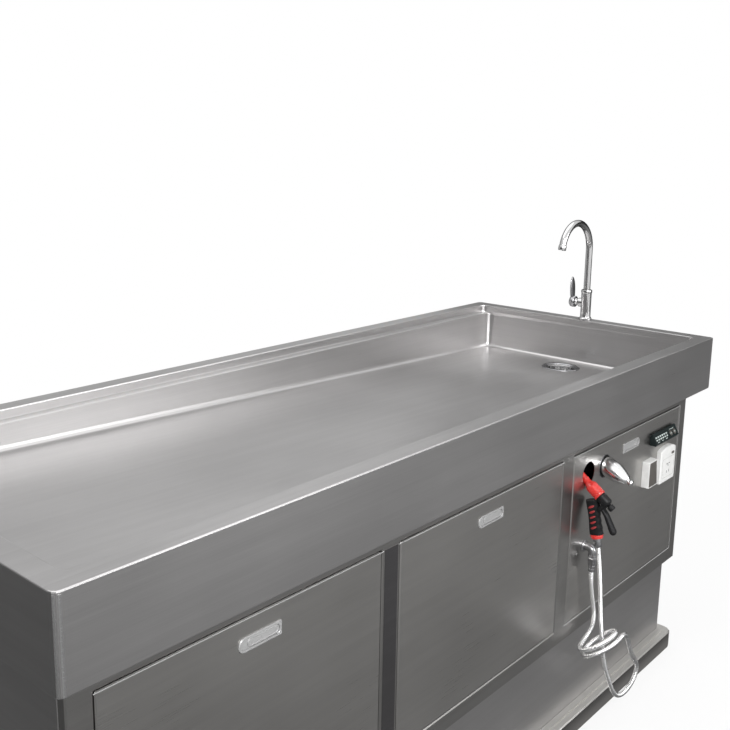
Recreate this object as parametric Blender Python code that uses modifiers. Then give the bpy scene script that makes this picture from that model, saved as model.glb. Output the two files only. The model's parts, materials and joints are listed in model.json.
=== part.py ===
"""Autopsy table: a stainless trough on a height-adjustable cabinet, with tap, mixer and spray gun.

Metres, +Z up. +X runs along the table towards the tap, -Y is the front with the doors, and the
origin is on the floor under the middle of the table.
"""
import math

import bmesh
import bpy
from mathutils import Matrix, Vector

# Clearances and shared values
GAP = 0.0003                 # seat clearance between touching pieces
UPRIGHT_SHARE = 0.9          # how far along an axis an edge or normal has to point
CUT = 0.004                  # how far a cutter runs past a face
MERGE = 0.00001              # merge distance of modifiers
SHEET = 0.002                # stainless sheet thickness
ROUND = 24                   # sides of a round piece
SMALL_ROUND = 16             # sides of a small round piece
LARGE_ROUND = 32             # sides of the waste and of the holes in the panel

# Overall sizes
TABLE_LENGTH = 2.200
TABLE_WIDTH = 0.850
RIM_HEIGHT = 1.006
APRON_HEIGHT = 0.155
RIM_WIDTH = 0.044
APRON_CORNER = 0.012
RETURN_FLANGE = 0.090
FOLD_RADIUS = 0.0025
FOLD_STEPS = 2
PANEL_FOLD_STEPS = 1
CORNER_STEPS = 3

# Trough
BASIN_CORNER = 0.016
LEDGE_DEPTH = 0.022
LEDGE_WIDTH = 0.024
LEDGE_END_DROP = 0.006        # how far the ledge sinks into the cove round the ends
FLOOR_DEPTH_HEAD = 0.072
FLOOR_DEPTH_FOOT = 0.143
COVE = 0.012
COVE_STEPS = 3

# Cabinet shell
SHELL_END_SETBACK = 0.040
SHELL_FRONT_SETBACK = 0.054
SHELL_HEIGHT = 0.554
SHELL_DEPTH = 0.019
TOP_RAIL = 0.048
BOTTOM_RAIL = 0.042
END_POST = 0.046
MID_POST = 0.054
BAYS = 3
DOOR_GAP = 0.002
DOOR_DEPTH = 0.014
EDGE_RADIUS = 0.0025

# Pedestal and plinth
SKIRT_SETBACK = 0.022
SKIRT_OVERLAP = 0.228
SKIRT_FLANGE = 0.030
SKIRT_CORNER = 0.008
PLINTH_HEIGHT = 0.052
PLINTH_OVERHANG_END = 0.027
PLINTH_OVERHANG_FRONT = 0.038
PLINTH_CORNER = 0.028
PLINTH_EDGE = 0.003
BASE_PLATE = 0.006

# Frame under the tub
FRAME_TUBE = 0.040

# Lift columns
COLUMN_X = 0.550
COLUMN_WIDTH = 0.120
COLUMN_WALL = 0.004
COLUMN_SLIDE = 0.0004
COLUMN_OUTER_LENGTH = 0.300
COLUMN_MID_LENGTH = 0.400
COLUMN_MID_START = 0.128     # above the foot of the outer tube
COLUMN_INNER_LENGTH = 0.400
HEAD_PLATE_WIDTH = 0.180
HEAD_PLATE = 0.008
FOOT_PLATE_WIDTH = 0.180
FOOT_PLATE = 0.010
MOTOR_RADIUS = 0.032
MOTOR_LENGTH = 0.130
GEARBOX_LENGTH = 0.110
GEARBOX_WIDTH = 0.080
GEARBOX_HEIGHT = 0.100
DRIVE_SHAFT_RADIUS = 0.008

# Doors
PIVOT_INSET = 0.0052
PIVOT_RADIUS = 0.0020
PIVOT_LENGTH = 0.009

# Flush pulls
PULL_LENGTH = 0.098
PULL_HEIGHT = 0.027
PULL_DROP = 0.046            # pull centre below the door's top edge
PULL_PLATE = 0.0016
PULL_CUP_DEPTH = 0.010
PULL_CUP_WALL = 0.0012
PULL_MARGIN = 0.0045
PULL_FINGER = 0.016          # finger space beside the flap
PULL_FLAP = 0.003
PULL_FLAP_SINK = 0.0006
PULL_PIN_RADIUS = 0.0012

# Waste
DRAIN_X = 0.945
DRAIN_FLANGE_RADIUS = 0.060
DRAIN_FLANGE = 0.002
DRAIN_CUP_RADIUS = 0.043
DRAIN_CUP_DEPTH = 0.050
DRAIN_WALL = 0.002
DRAIN_LIP = 0.006
SPIGOT_RADIUS = 0.022
SPIGOT_LENGTH = 0.040
NUT_RADIUS = 0.052
NUT_HEIGHT = 0.012
BASKET_RADIUS = 0.040
BASKET_DEPTH = 0.034
BASKET_HOLE = 0.0032
BASKET_HOLES = 10
BASKET_HOLE_SIDES = 6
BASKET_KNOB_RADIUS = 0.006
TRAP_RADIUS = 0.036
TRAP_HEIGHT = 0.105
TRAP_ARM = 0.090
WASTE_RADIUS = 0.020
WASTE_BEND = 0.035
WASTE_BOTTOM = 0.250
STANDPIPE_TOP = 0.480
STANDPIPE_WALL = 0.003
STANDPIPE_SLIDE = 0.0008
STANDPIPE_FLANGE = 0.018

# Gooseneck tap
TAP_INSET = 0.023            # tap axis from the table's end
TAP_Y = -0.006
TAP_FLANGE_RADIUS = 0.0205
TAP_FLANGE = 0.005
TAP_BODY_RADIUS = 0.0175
TAP_BODY_HEIGHT = 0.098
TAP_COLLAR = 0.010
TAP_BOSS_HEIGHT = 0.054
TAP_BOSS_RADIUS = 0.0145
TAP_BOSS_REACH = 0.026
TAP_SHANK_RADIUS = 0.0110
TAP_SHANK_LENGTH = 0.055
TAP_NUT_RADIUS = 0.0165
TAP_NUT_HEIGHT = 0.010
TAP_BALL_RADIUS = 0.0115
TAP_NECK_RADIUS = 0.0080
TAP_BALL_GAP = 0.0005
SPOUT_RADIUS = 0.01075
SPOUT_TOP = 0.330            # top of the arch above the rim
SPOUT_ARCH = 0.088
SPOUT_SWEEP_DEG = 164.0
SPOUT_STEPS = 16
AERATOR_RADIUS = 0.0122
AERATOR_LENGTH = 0.014
LEVER_BLADE_HEIGHT = 0.070
LEVER_BLADE_WIDTH = 0.026
LEVER_BLADE_THICKNESS = 0.0045
LEVER_CAP_RADIUS = 0.0155
LEVER_CAP_LENGTH = 0.018
LEVER_CAP_SHARE = 0.71           # flat middle of the cap's dome
LEVER_BLADE_SEAT_SHARE = 1.5     # blade's axis behind the cap's face, in blade thicknesses
LEVER_BULGE_SHARE = 0.77         # how early along its length the blade is widest
LEVER_TIP_POWER = 4
LEVER_STEPS = 6

# Places on the control panel, from its middle (X) and above the floor (Z)
HOLSTER_X = 0.455
HOLSTER_Z = 0.735
HOLSTER_RADIUS = 0.032
MIXER_X = 0.543
MIXER_Z = 0.733
MIXER_HOLE_RADIUS = 0.030
OUTLET_X = 0.455
OUTLET_Z = 0.536

# Concealed mixer
MIXER_FLANGE_RADIUS = 0.037
MIXER_FLANGE = 0.003
MIXER_BODY_RADIUS = 0.029
MIXER_BODY_LENGTH = 0.058
MIXER_RECESS_RADIUS = 0.024
MIXER_RECESS = 0.008
MIXER_PORT_RADIUS = 0.009
MIXER_PORT_LENGTH = 0.010
MIXER_NECK_RADIUS = 0.016
MIXER_BALL_RADIUS = 0.0185
MIXER_BALL_GAP = 0.0005
MIXER_BALL_OUT = 0.010       # ball centre in front of the panel
MIXER_LEVER_LENGTH = 0.086
MIXER_LEVER_DROOP_DEG = 23.0
MIXER_LEVER_WIDTH = 0.050
MIXER_LEVER_TIP = 0.013
MIXER_LEVER_THICKNESS = 0.038
MIXER_LEVER_TIP_THICKNESS = 0.008
MIXER_LEVER_STEPS = 9
MIXER_LEVER_WIDTH_POWER = 1.3        # how the petal narrows towards its tip
MIXER_LEVER_THICKNESS_POWER = 0.9
MIXER_LEVER_ROUND_SHARE = 0.25       # length over which the back end is rounded
MIXER_LEVER_BACK_SHARE = 0.81        # size of the back end
MIXER_LEVER_END_SHARE = 0.6          # size of the tip's end face
PIPE_RADIUS = 0.006
PIPE_BEND = 0.024
OUTLET_PIPE_DROP = 0.075
SUPPLY_LEAD = (0.066, 0.034)     # how far the pipes run inwards before they turn
SUPPLY_X = (0.690, 0.740)
UNION_RADIUS = 0.013
UNION_LENGTH = 0.022

# Hose outlet
ROSETTE_RADIUS = 0.016
ROSETTE_LENGTH = 0.004
ELBOW_RADIUS = 0.0095
ELBOW_REACH = 0.026          # pipe axis in front of the panel
ELBOW_BEND = 0.012
ELBOW_DROP = 0.024
ELBOW_TAIL = 0.018
HOSE_NUT_RADIUS = 0.0125
HOSE_NUT_HEIGHT = 0.022
FERRULE_RADIUS = 0.0090
FERRULE_LENGTH = 0.018

# Hose
HOSE_RADIUS = 0.0065
COIL_CENTRE = (0.409, -0.446, 0.318)
COIL_AXIS = (-0.117, 0.603, 0.789)      # the coil hangs tilted round the two strands
COIL_LONG_WAY = (0.608, -0.585, 0.537)
COIL_RADIUS = 0.052
COIL_START_DEG = 140.0
COIL_END_DEG = 695.0
COIL_PITCH = 0.0170
COIL_POINTS_PER_TURN = 24
RUN_POINTS = 12
LOOP_POINTS = 46

# Spray gun
GUN_X = 0.445
GUN_CROSS_Z = 0.7190         # where the barrel's axis passes the panel's face
GUN_TILT_DEG = 36.6
BARREL_RADIUS = 0.0160
NOZZLE_RADIUS = 0.0098
NOZZLE_IN = 0.026            # nozzle tip behind the panel's face
NOZZLE_TAPER_START = 0.0075
NOZZLE_TAPER_END = 0.020
BARREL_END = 0.052           # barrel's rear end in front of the panel's face, along its axis
HOUSING_LENGTH = 0.030
HOUSING_RADIUS = 0.0145
GRIP_LEAN_DEG = 10.7
GRIP_TOP = 0.672
GRIP_LENGTH = 0.090
GRIP_AXIS_TOP_Y = -0.3925
GRIP_DEPTH = 0.036
GRIP_WIDTH = 0.027
GRIP_WAIST_SHARE = 0.90
GUN_COLLAR_RADIUS = 0.0165
GUN_COLLAR_LENGTH = 0.010
GUN_CONNECTOR_RADIUS = 0.0105
GUN_CONNECTOR_LENGTH = 0.024
TRIGGER_WIDTH = 0.018
TRIGGER_THICKNESS = 0.008
TRIGGER_LENGTH = 0.074
TRIGGER_PIN_RADIUS = 0.0022
TRIGGER_HEAD_RADIUS = 0.0048
TRIGGER_EAR_RADIUS = 0.0060
TRIGGER_EAR = 0.003
TRIGGER_HANG = 0.0205            # pivot below the housing's axis
TRIGGER_BACK = 0.024             # pivot behind the housing's front
TRIGGER_END_SHARE = 0.7
TRIGGER_OUT_SHARES = (0.0, 0.17, 0.30, 0.41, 0.52)
TRIGGER_DOWN_SHARES = (0.0, 0.20, 0.44, 0.65, 0.84)
KNOB_RADIUS = 0.009
KNOB_LENGTH = 0.016
KNOB_NOSE_SHARE = 0.8            # radius where the knob's end is chamfered
KNOB_FOOT_SHARE = 0.6
KNOB_CHAMFER_SHARE = 0.15
KNOB_NECK_SHARE = 0.25
NOZZLE_EDGE_SHARE = 0.8
TRIGGER_STEPS = 10
GRIP_STEPS = 8

# Surface switch and outlet
SWITCH_X = 0.808
SWITCH_Z = 0.6445
SWITCH_WIDTH = 0.056
SWITCH_HEIGHT = 0.078
SWITCH_DEPTH = 0.022
SWITCH_EDGE = 0.0025
ROCKER_MARGIN_SIDE = 0.0030
ROCKER_MARGIN_END = 0.0030
ROCKER_THICKNESS = 0.005
ROCKER_RECESS = 0.010
ROCKER_TILT_DEG = 4.0
ROCKER_CLEARANCE = 0.0006
OUTLET_BOX_X = 0.9250
OUTLET_BOX_Z = 0.6470
OUTLET_BOX_WIDTH = 0.100
OUTLET_BOX_HEIGHT = 0.115
OUTLET_BOX_ARCH = 0.014
OUTLET_BOX_DEPTH = 0.015
OUTLET_BOX_EDGE = 0.004
BUTTON_WIDTH = 0.016
BUTTON_HEIGHT = 0.007
BUTTON_LENGTH = 0.006
BUTTON_PROUD = 0.0015
BUTTON_TRAVEL = 0.0012
BUTTON_X = 0.028
BUTTON_Z = 0.026
SLOT_WIDTH = 0.0025
SLOT_HEIGHT = 0.008
SLOT_DEPTH = 0.006
SLOT_SPREAD = 0.016

# Lift handset
HANDSET_X = 0.894
HANDSET_LENGTH = 0.150
HANDSET_BOTTOM = 0.722
HANDSET_EDGE = 0.004
FACE_TOP_OUT = 0.010
FACE_TOP_UP = 0.029
FACE_BOTTOM_OUT = 0.022
FACE_BOTTOM_UP = 0.006
HOOD_OUT = 0.008
HOOD_UP = 0.034
KEY_RADIUS = 0.008
KEY_LENGTH = 0.0040
KEY_PROUD = 0.0016
KEY_TRAVEL = 0.0010
KEY_UP_X = 0.030
KEY_DOWN_X = 0.054

# Derived places
HALF_LENGTH = TABLE_LENGTH / 2
HALF_WIDTH = TABLE_WIDTH / 2
APRON_BOTTOM = RIM_HEIGHT - APRON_HEIGHT
SHELL_X = HALF_LENGTH - SHELL_END_SETBACK
SHELL_Y = HALF_WIDTH - SHELL_FRONT_SETBACK
SHELL_TOP = APRON_BOTTOM - GAP
SHELL_BOTTOM = APRON_BOTTOM - SHELL_HEIGHT
FRONT = -SHELL_Y
OPENING_BOTTOM = SHELL_BOTTOM + BOTTOM_RAIL
OPENING_TOP = SHELL_TOP - TOP_RAIL
BAY_WIDTH = (2 * SHELL_X - 2 * END_POST - (BAYS - 1) * MID_POST) / BAYS
SKIRT_X = SHELL_X - SKIRT_SETBACK
SKIRT_Y = SHELL_Y - SKIRT_SETBACK
SKIRT_TOP = SHELL_BOTTOM + SKIRT_OVERLAP
PLINTH_X = SKIRT_X + PLINTH_OVERHANG_END
PLINTH_Y = SKIRT_Y + PLINTH_OVERHANG_FRONT
FOOT = PLINTH_HEIGHT + GAP   # what stands on the plinth
FRAME_TOP = SHELL_TOP
FRAME_BOTTOM = FRAME_TOP - FRAME_TUBE
BASIN_X = HALF_LENGTH - RIM_WIDTH
BASIN_Y = HALF_WIDTH - RIM_WIDTH
TAP_X = HALF_LENGTH - TAP_INSET
SURFACE = FRONT - GAP        # seat plane of what is fixed to the front
PIVOT_Y = FRONT + PIVOT_INSET


def bay_centre(index):
    """Middle of a front bay along X."""
    return -SHELL_X + END_POST + BAY_WIDTH / 2 + index * (BAY_WIDTH + MID_POST)


def pin_heights(index):
    """Where a front panel's side pins are: a door turns on its lower two, the last panel has four."""
    low = OPENING_BOTTOM + DOOR_GAP + PIVOT_INSET
    high = OPENING_TOP - DOOR_GAP - PIVOT_INSET
    return (low,) if index < BAYS - 1 else (low, high)


def floor_height(x):
    """Height of the trough's floor, which falls evenly towards the drain end."""
    share = (x + BASIN_X) / (2 * BASIN_X)
    return RIM_HEIGHT - FLOOR_DEPTH_HEAD - (FLOOR_DEPTH_FOOT - FLOOR_DEPTH_HEAD) * share


FLOOR_FALL = math.atan((FLOOR_DEPTH_FOOT - FLOOR_DEPTH_HEAD) / (2 * BASIN_X))
FLOOR_NORMAL = Vector((math.sin(FLOOR_FALL), 0, math.cos(FLOOR_FALL)))

# Finishes: colour, roughness, metallic
STEEL = ((0.50, 0.50, 0.49), 0.35, 1.0)
DARK_STEEL = ((0.36, 0.36, 0.35), 0.42, 1.0)
CHROME = ((0.85, 0.85, 0.86), 0.12, 1.0)
BRASS = ((0.62, 0.48, 0.22), 0.35, 1.0)
WHITE_PLASTIC = ((0.88, 0.88, 0.86), 0.35, 0.0)
GREY_PLASTIC = ((0.14, 0.13, 0.12), 0.45, 0.0)
BLACK_PLASTIC = ((0.02, 0.02, 0.02), 0.40, 0.0)
RED_PLASTIC = ((0.72, 0.05, 0.04), 0.32, 0.0)
MOTOR_PAINT = ((0.10, 0.11, 0.12), 0.50, 0.3)
PVC = ((0.72, 0.72, 0.70), 0.45, 0.0)

for old in list(bpy.data.objects):
    bpy.data.objects.remove(old, do_unlink=True)
PARTS = bpy.data.collections.new("autopsy_table")
CUTTERS = bpy.data.collections.new("cutters")
for group in (PARTS, CUTTERS):
    bpy.context.scene.collection.children.link(group)


def dress(obj, finish):
    """Give an object its own Principled material."""
    colour, roughness, metallic = finish
    skin = bpy.data.materials.new(obj.name + "_finish")
    skin.use_nodes = True
    shader = skin.node_tree.nodes["Principled BSDF"]
    shader.inputs["Base Color"].default_value = (*colour, 1.0)
    shader.inputs["Roughness"].default_value = roughness
    shader.inputs["Metallic"].default_value = metallic
    obj.data.materials.clear()
    obj.data.materials.append(skin)


def from_bmesh(name, bm, finish, centre):
    """Make an object from world-space geometry, with its origin at centre."""
    centre = Vector(centre)
    bmesh.ops.translate(bm, vec=-centre, verts=bm.verts)
    mesh = bpy.data.meshes.new(name)
    bm.to_mesh(mesh)
    bm.free()
    obj = bpy.data.objects.new(name, mesh)
    obj.location = centre
    PARTS.objects.link(obj)
    dress(obj, finish)
    return obj


def smooth(obj, degrees=35):
    """Shade round faces smooth and keep the folds sharp."""
    obj.data.shade_smooth()
    obj.data.set_sharp_from_angle(angle=math.radians(degrees))
    return obj


def bevel(obj, width, steps=2, degrees=35):
    """Round an object's edges."""
    rounding = obj.modifiers.new("edges", "BEVEL")
    rounding.width = width
    rounding.segments = steps
    rounding.limit_method = "ANGLE"
    rounding.angle_limit = math.radians(degrees)
    return obj


def solidify(obj, thickness):
    """Turn an open surface into sheet, away from its outer face."""
    sheet = obj.modifiers.new("sheet", "SOLIDIFY")
    sheet.thickness = thickness
    sheet.offset = -1
    sheet.use_even_offset = True
    return obj


def boolean(target, tool, operation="DIFFERENCE"):
    """Cut a tool from a target, or join it to the target."""
    step = target.modifiers.new(tool.name, "BOOLEAN")
    step.operation = operation
    step.solver = "EXACT"
    step.object = tool
    if tool.name in PARTS.objects:
        PARTS.objects.unlink(tool)
        CUTTERS.objects.link(tool)
    tool.hide_render = True
    tool.display_type = "WIRE"
    return target


def cut(target, *tools):
    for tool in tools:
        boolean(target, tool)
    return target


def join(target, *tools):
    for tool in tools:
        boolean(target, tool, "UNION")
    return target


def block(name, low, high, finish, centre=None, rounding=0.0, steps=2):
    """A box between two corners."""
    low, high = Vector(low), Vector(high)
    bm = bmesh.new()
    bmesh.ops.create_cube(bm, size=1.0)
    size = high - low
    bmesh.ops.transform(bm, matrix=Matrix.Translation((low + high) / 2) @ Matrix.Diagonal((*size, 1.0)),
                        verts=bm.verts)
    obj = from_bmesh(name, bm, finish, (low + high) / 2 if centre is None else centre)
    if rounding:
        bevel(obj, rounding, steps)
    return obj


def axis_matrix(start, direction):
    """A frame at start whose Z runs along direction."""
    turn = Vector((0, 0, 1)).rotation_difference(Vector(direction))
    return Matrix.Translation(start) @ turn.to_matrix().to_4x4()


def rod(name, start, end, radius, finish, end_radius=None, sides=ROUND, centre=None):
    """A cylinder or cone between two points."""
    start, end = Vector(start), Vector(end)
    length = (end - start).length
    bm = bmesh.new()
    bmesh.ops.create_cone(bm, cap_ends=True, segments=sides, radius1=radius,
                          radius2=radius if end_radius is None else end_radius, depth=length)
    bmesh.ops.transform(bm, matrix=axis_matrix((start + end) / 2, end - start), verts=bm.verts)
    return smooth(from_bmesh(name, bm, finish, (start + end) / 2 if centre is None else centre))


def ring_nut(name, seat, way, radius, height, bore, sides):
    """A nut of flat sides with a round bore, from its seat along way."""
    seat, way = Vector(seat), Vector(way)
    nut = rod(name, seat, seat + way * height, radius, BRASS, sides=sides)
    drill = rod(name + "_bore", seat - way * CUT, seat + way * (height + CUT), bore, BRASS,
                sides=LARGE_ROUND)
    return cut(nut, drill)


def ball(name, centre, radius, finish, sides=ROUND):
    """A sphere."""
    bm = bmesh.new()
    bmesh.ops.create_uvsphere(bm, u_segments=sides, v_segments=sides // 2, radius=radius)
    bmesh.ops.translate(bm, vec=Vector(centre), verts=bm.verts)
    return smooth(from_bmesh(name, bm, finish, centre))


def turned(name, profile, origin, direction, finish, ring=False, sides=ROUND):
    """A profile of (radius, height) pairs, top first on its outer side, turned about direction."""
    bm = bmesh.new()
    points = [bm.verts.new((radius, 0, height)) for radius, height in profile]
    for first, second in zip(points, points[1:]):
        bm.edges.new((first, second))
    if ring:
        bm.edges.new((points[-1], points[0]))
    mesh = bpy.data.meshes.new(name)
    bm.to_mesh(mesh)
    bm.free()
    obj = bpy.data.objects.new(name, mesh)
    obj.matrix_world = axis_matrix(origin, direction)
    PARTS.objects.link(obj)
    dress(obj, finish)
    screw = obj.modifiers.new("turn", "SCREW")
    screw.angle = math.tau
    screw.steps = sides
    screw.render_steps = sides
    screw.use_merge_vertices = True
    screw.merge_threshold = MERGE
    screw.use_smooth_shade = True
    return obj


def pipe(name, points, radius, finish, resolution=2, joined=False):
    """A round bar along points. As a joined piece it becomes a mesh with welded caps."""
    curve = bpy.data.curves.new(name, "CURVE")
    curve.dimensions = "3D"
    curve.bevel_depth = radius
    curve.bevel_resolution = resolution
    curve.use_fill_caps = True
    line = curve.splines.new("POLY")
    line.points.add(len(points) - 1)
    for knot, place in zip(line.points, points):
        knot.co = (*place, 1.0)
    obj = bpy.data.objects.new(name, curve)
    PARTS.objects.link(obj)
    dress(obj, finish)
    if not joined:
        return obj
    bpy.context.view_layer.update()
    shape = bpy.data.meshes.new_from_object(obj.evaluated_get(bpy.context.evaluated_depsgraph_get()))
    bm = bmesh.new()
    bm.from_mesh(shape)
    bmesh.ops.remove_doubles(bm, verts=bm.verts, dist=MERGE)
    bmesh.ops.recalc_face_normals(bm, faces=bm.faces)
    bm.to_mesh(shape)
    bm.free()
    bpy.data.objects.remove(obj, do_unlink=True)
    solid = bpy.data.objects.new(name, shape)
    PARTS.objects.link(solid)
    dress(solid, finish)
    return solid


def loft(name, rings, finish, centre, close=False):
    """Skin a row of rings with equal counts of points. Closed ones get end caps."""
    bm = bmesh.new()
    rows = [[bm.verts.new(point) for point in ring] for ring in rings]
    for lower, upper in zip(rows, rows[1:]):
        count = len(lower)
        for index in range(count):
            after = (index + 1) % count
            bm.faces.new((lower[index], lower[after], upper[after], upper[index]))
    if close:
        bm.faces.new(rows[0][::-1])
    bm.faces.new(rows[-1])
    bmesh.ops.recalc_face_normals(bm, faces=bm.faces)
    return from_bmesh(name, bm, finish, centre)


def rounded_rectangle(half_x, half_y, radius, height, steps=CORNER_STEPS):
    """Points of a rectangle with round corners, at a height that may follow x."""
    points = []
    for quarter, (side_x, side_y) in enumerate(((1, 1), (-1, 1), (-1, -1), (1, -1))):
        for step in range(steps + 1):
            angle = (quarter + step / steps) * math.pi / 2
            x = side_x * (half_x - radius) + radius * math.cos(angle)
            y = side_y * (half_y - radius) + radius * math.sin(angle)
            points.append(Vector((x, y, height(x) if callable(height) else height)))
    return points


def tray(name, low, high, open_side, finish, sheet=SHEET, edge=EDGE_RADIUS, centre=None,
         corner=0.0, corner_axis=2):
    """A folded sheet box with one open side, given as a unit direction."""
    low, high = Vector(low), Vector(high)
    bm = bmesh.new()
    bmesh.ops.create_cube(bm, size=1.0)
    size = high - low
    bmesh.ops.transform(bm, matrix=Matrix.Translation((low + high) / 2) @ Matrix.Diagonal((*size, 1.0)),
                        verts=bm.verts)
    bm.normal_update()
    lid = [face for face in bm.faces if face.normal.dot(Vector(open_side)) > UPRIGHT_SHARE]
    bmesh.ops.delete(bm, geom=lid, context="FACES")
    if corner:
        upright = [e for e in bm.edges
                   if abs((e.verts[0].co - e.verts[1].co).normalized()[corner_axis]) > UPRIGHT_SHARE]
        bmesh.ops.bevel(bm, geom=upright, offset=corner, segments=CORNER_STEPS, profile=0.5,
                        affect="EDGES")
    obj = from_bmesh(name, bm, finish, (low + high) / 2 if centre is None else centre)
    if edge:
        bevel(obj, edge, PANEL_FOLD_STEPS)
    return solidify(obj, sheet)


def carry(parent_name, place, *pieces):
    """Parent pieces to an empty that stands on their joint's axis."""
    empty = bpy.data.objects.get(parent_name)
    if empty is None:
        empty = bpy.data.objects.new(parent_name, None)
        empty.location = Vector(place)
        PARTS.objects.link(empty)
    for piece in pieces:
        hang(piece, empty)
    return empty


def hang(piece, empty):
    """Parent a piece without moving it."""
    piece.parent = empty
    piece.matrix_parent_inverse = Matrix.Translation(empty.location).inverted()


# Base


def make_base():
    inside = SHEET + GAP
    plate = block("base_plate", (-PLINTH_X + inside, -PLINTH_Y + inside, 0),
                  (PLINTH_X - inside, PLINTH_Y - inside, BASE_PLATE), DARK_STEEL)
    round_corners(plate, PLINTH_CORNER - inside)
    cover = tray("plinth_cover", (-PLINTH_X, -PLINTH_Y, 0), (PLINTH_X, PLINTH_Y, PLINTH_HEIGHT),
                 (0, 0, -1), STEEL, edge=PLINTH_EDGE, corner=PLINTH_CORNER)
    reach = COLUMN_WIDTH / 2 + GAP
    for side in (-1, 1):
        x = side * COLUMN_X
        cut(cover, block("column_hole" + str(side), (x - reach, -reach, PLINTH_HEIGHT - SHEET - CUT),
                         (x + reach, reach, PLINTH_HEIGHT + CUT), STEEL))

    rings = [
        rounded_rectangle(SKIRT_X - SKIRT_FLANGE, SKIRT_Y - SKIRT_FLANGE, SKIRT_CORNER, FOOT),
        rounded_rectangle(SKIRT_X, SKIRT_Y, SKIRT_CORNER, FOOT),
        rounded_rectangle(SKIRT_X, SKIRT_Y, SKIRT_CORNER, SKIRT_TOP),
    ]
    solidify(open_loft("pedestal_skirt", rings, STEEL, (0, 0, FOOT)), SHEET)

    bore = WASTE_RADIUS + STANDPIPE_SLIDE
    outside = bore + STANDPIPE_WALL
    turned("drain_standpipe",
           [(outside, STANDPIPE_TOP - FOOT), (outside, STANDPIPE_WALL),
            (outside + STANDPIPE_FLANGE, STANDPIPE_WALL), (outside + STANDPIPE_FLANGE, 0), (bore, 0),
            (bore, STANDPIPE_TOP - FOOT)],
           (DRAIN_X - TRAP_ARM, 0, FOOT), (0, 0, 1), PVC, ring=True)


def round_corners(obj, radius):
    """Round the upright edges of a plate."""
    bm = bmesh.new()
    bm.from_mesh(obj.data)
    upright = [e for e in bm.edges if abs((e.verts[0].co - e.verts[1].co).normalized().z) > UPRIGHT_SHARE]
    bmesh.ops.bevel(bm, geom=upright, offset=radius, segments=CORNER_STEPS, profile=0.5, affect="EDGES")
    bm.to_mesh(obj.data)
    bm.free()


def open_loft(name, rings, finish, centre, cap_last=False):
    """A skin without end caps, facing away from the middle of its widest ring."""
    bm = bmesh.new()
    rows = [[bm.verts.new(point) for point in ring] for ring in rings]
    for lower, upper in zip(rows, rows[1:]):
        count = len(lower)
        for index in range(count):
            after = (index + 1) % count
            bm.faces.new((lower[index], lower[after], upper[after], upper[index]))
    if cap_last:
        bm.faces.new(rows[-1])
    return from_bmesh(name, bm, finish, centre)


def square_tube(name, x, z_low, z_high, width, finish):
    """An upright square tube, open at both ends."""
    half = width / 2
    inner = half - COLUMN_WALL
    outer = block(name, (x - half, -half, z_low), (x + half, half, z_high), finish)
    core = block(name + "_core", (x - inner, -inner, z_low - CUT), (x + inner, inner, z_high + CUT), finish)
    return cut(outer, core)


def make_columns():
    """Two telescopic columns of three stages, and the drive that turns both screws."""
    step = 2 * (COLUMN_WALL + COLUMN_SLIDE)
    plate_top = BASE_PLATE + GAP + FOOT_PLATE
    outer_top = plate_top + COLUMN_OUTER_LENGTH
    mid_low = plate_top + COLUMN_MID_START
    head_top = FRAME_BOTTOM - GAP
    head_low = head_top - HEAD_PLATE
    lifted = []
    for number, side in enumerate((-1, 1), start=1):
        x = side * COLUMN_X
        foot_half = FOOT_PLATE_WIDTH / 2
        outer = square_tube("column_outer_" + str(number), x, plate_top - SHEET, outer_top,
                            COLUMN_WIDTH, STEEL)
        join(outer, block("column_foot" + str(number), (x - foot_half, -foot_half, BASE_PLATE + GAP),
                          (x + foot_half, foot_half, plate_top), STEEL))
        mid = square_tube("column_mid_" + str(number), x, mid_low, mid_low + COLUMN_MID_LENGTH,
                          COLUMN_WIDTH - step, STEEL)
        carry("mid_stage", (0, 0, mid_low), mid)
        inner = square_tube("column_inner_" + str(number), x, head_low - COLUMN_INNER_LENGTH,
                            head_low + SHEET, COLUMN_WIDTH - 2 * step, STEEL)
        head_half = HEAD_PLATE_WIDTH / 2
        join(inner, block("column_head" + str(number), (x - head_half, -head_half, head_low),
                          (x + head_half, head_half, head_top), STEEL))
        lifted.append(inner)
    drive = block("lift_drive", (-GEARBOX_LENGTH / 2, -GEARBOX_WIDTH / 2, FOOT),
                  (GEARBOX_LENGTH / 2, GEARBOX_WIDTH / 2, FOOT + GEARBOX_HEIGHT), MOTOR_PAINT,
                  rounding=EDGE_RADIUS)
    shaft_z = FOOT + GEARBOX_HEIGHT / 2
    shaft_end = COLUMN_X - COLUMN_WIDTH / 2 - GAP
    join(drive, rod("drive_motor", (0, 0, shaft_z), (0, GEARBOX_WIDTH / 2 + MOTOR_LENGTH, shaft_z),
                    MOTOR_RADIUS, MOTOR_PAINT))
    join(drive, rod("drive_shaft", (-shaft_end, 0, shaft_z), (shaft_end, 0, shaft_z), DRIVE_SHAFT_RADIUS,
                    MOTOR_PAINT, sides=SMALL_ROUND))
    return lifted


# Lifted cabinet


def make_frame():
    """The H-shaped frame: a cross beam over each column and a spine between them."""
    half = FRAME_TUBE / 2
    reach = SHELL_Y - SHELL_DEPTH - GAP
    frame = block("cabinet_frame", (-COLUMN_X, -half, FRAME_BOTTOM), (COLUMN_X, half, FRAME_TOP), STEEL)
    for side in (-1, 1):
        x = side * COLUMN_X
        join(frame, block("cross_beam" + str(side), (x - half, -reach, FRAME_BOTTOM),
                          (x + half, reach, FRAME_TOP), STEEL))
    return frame


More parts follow.
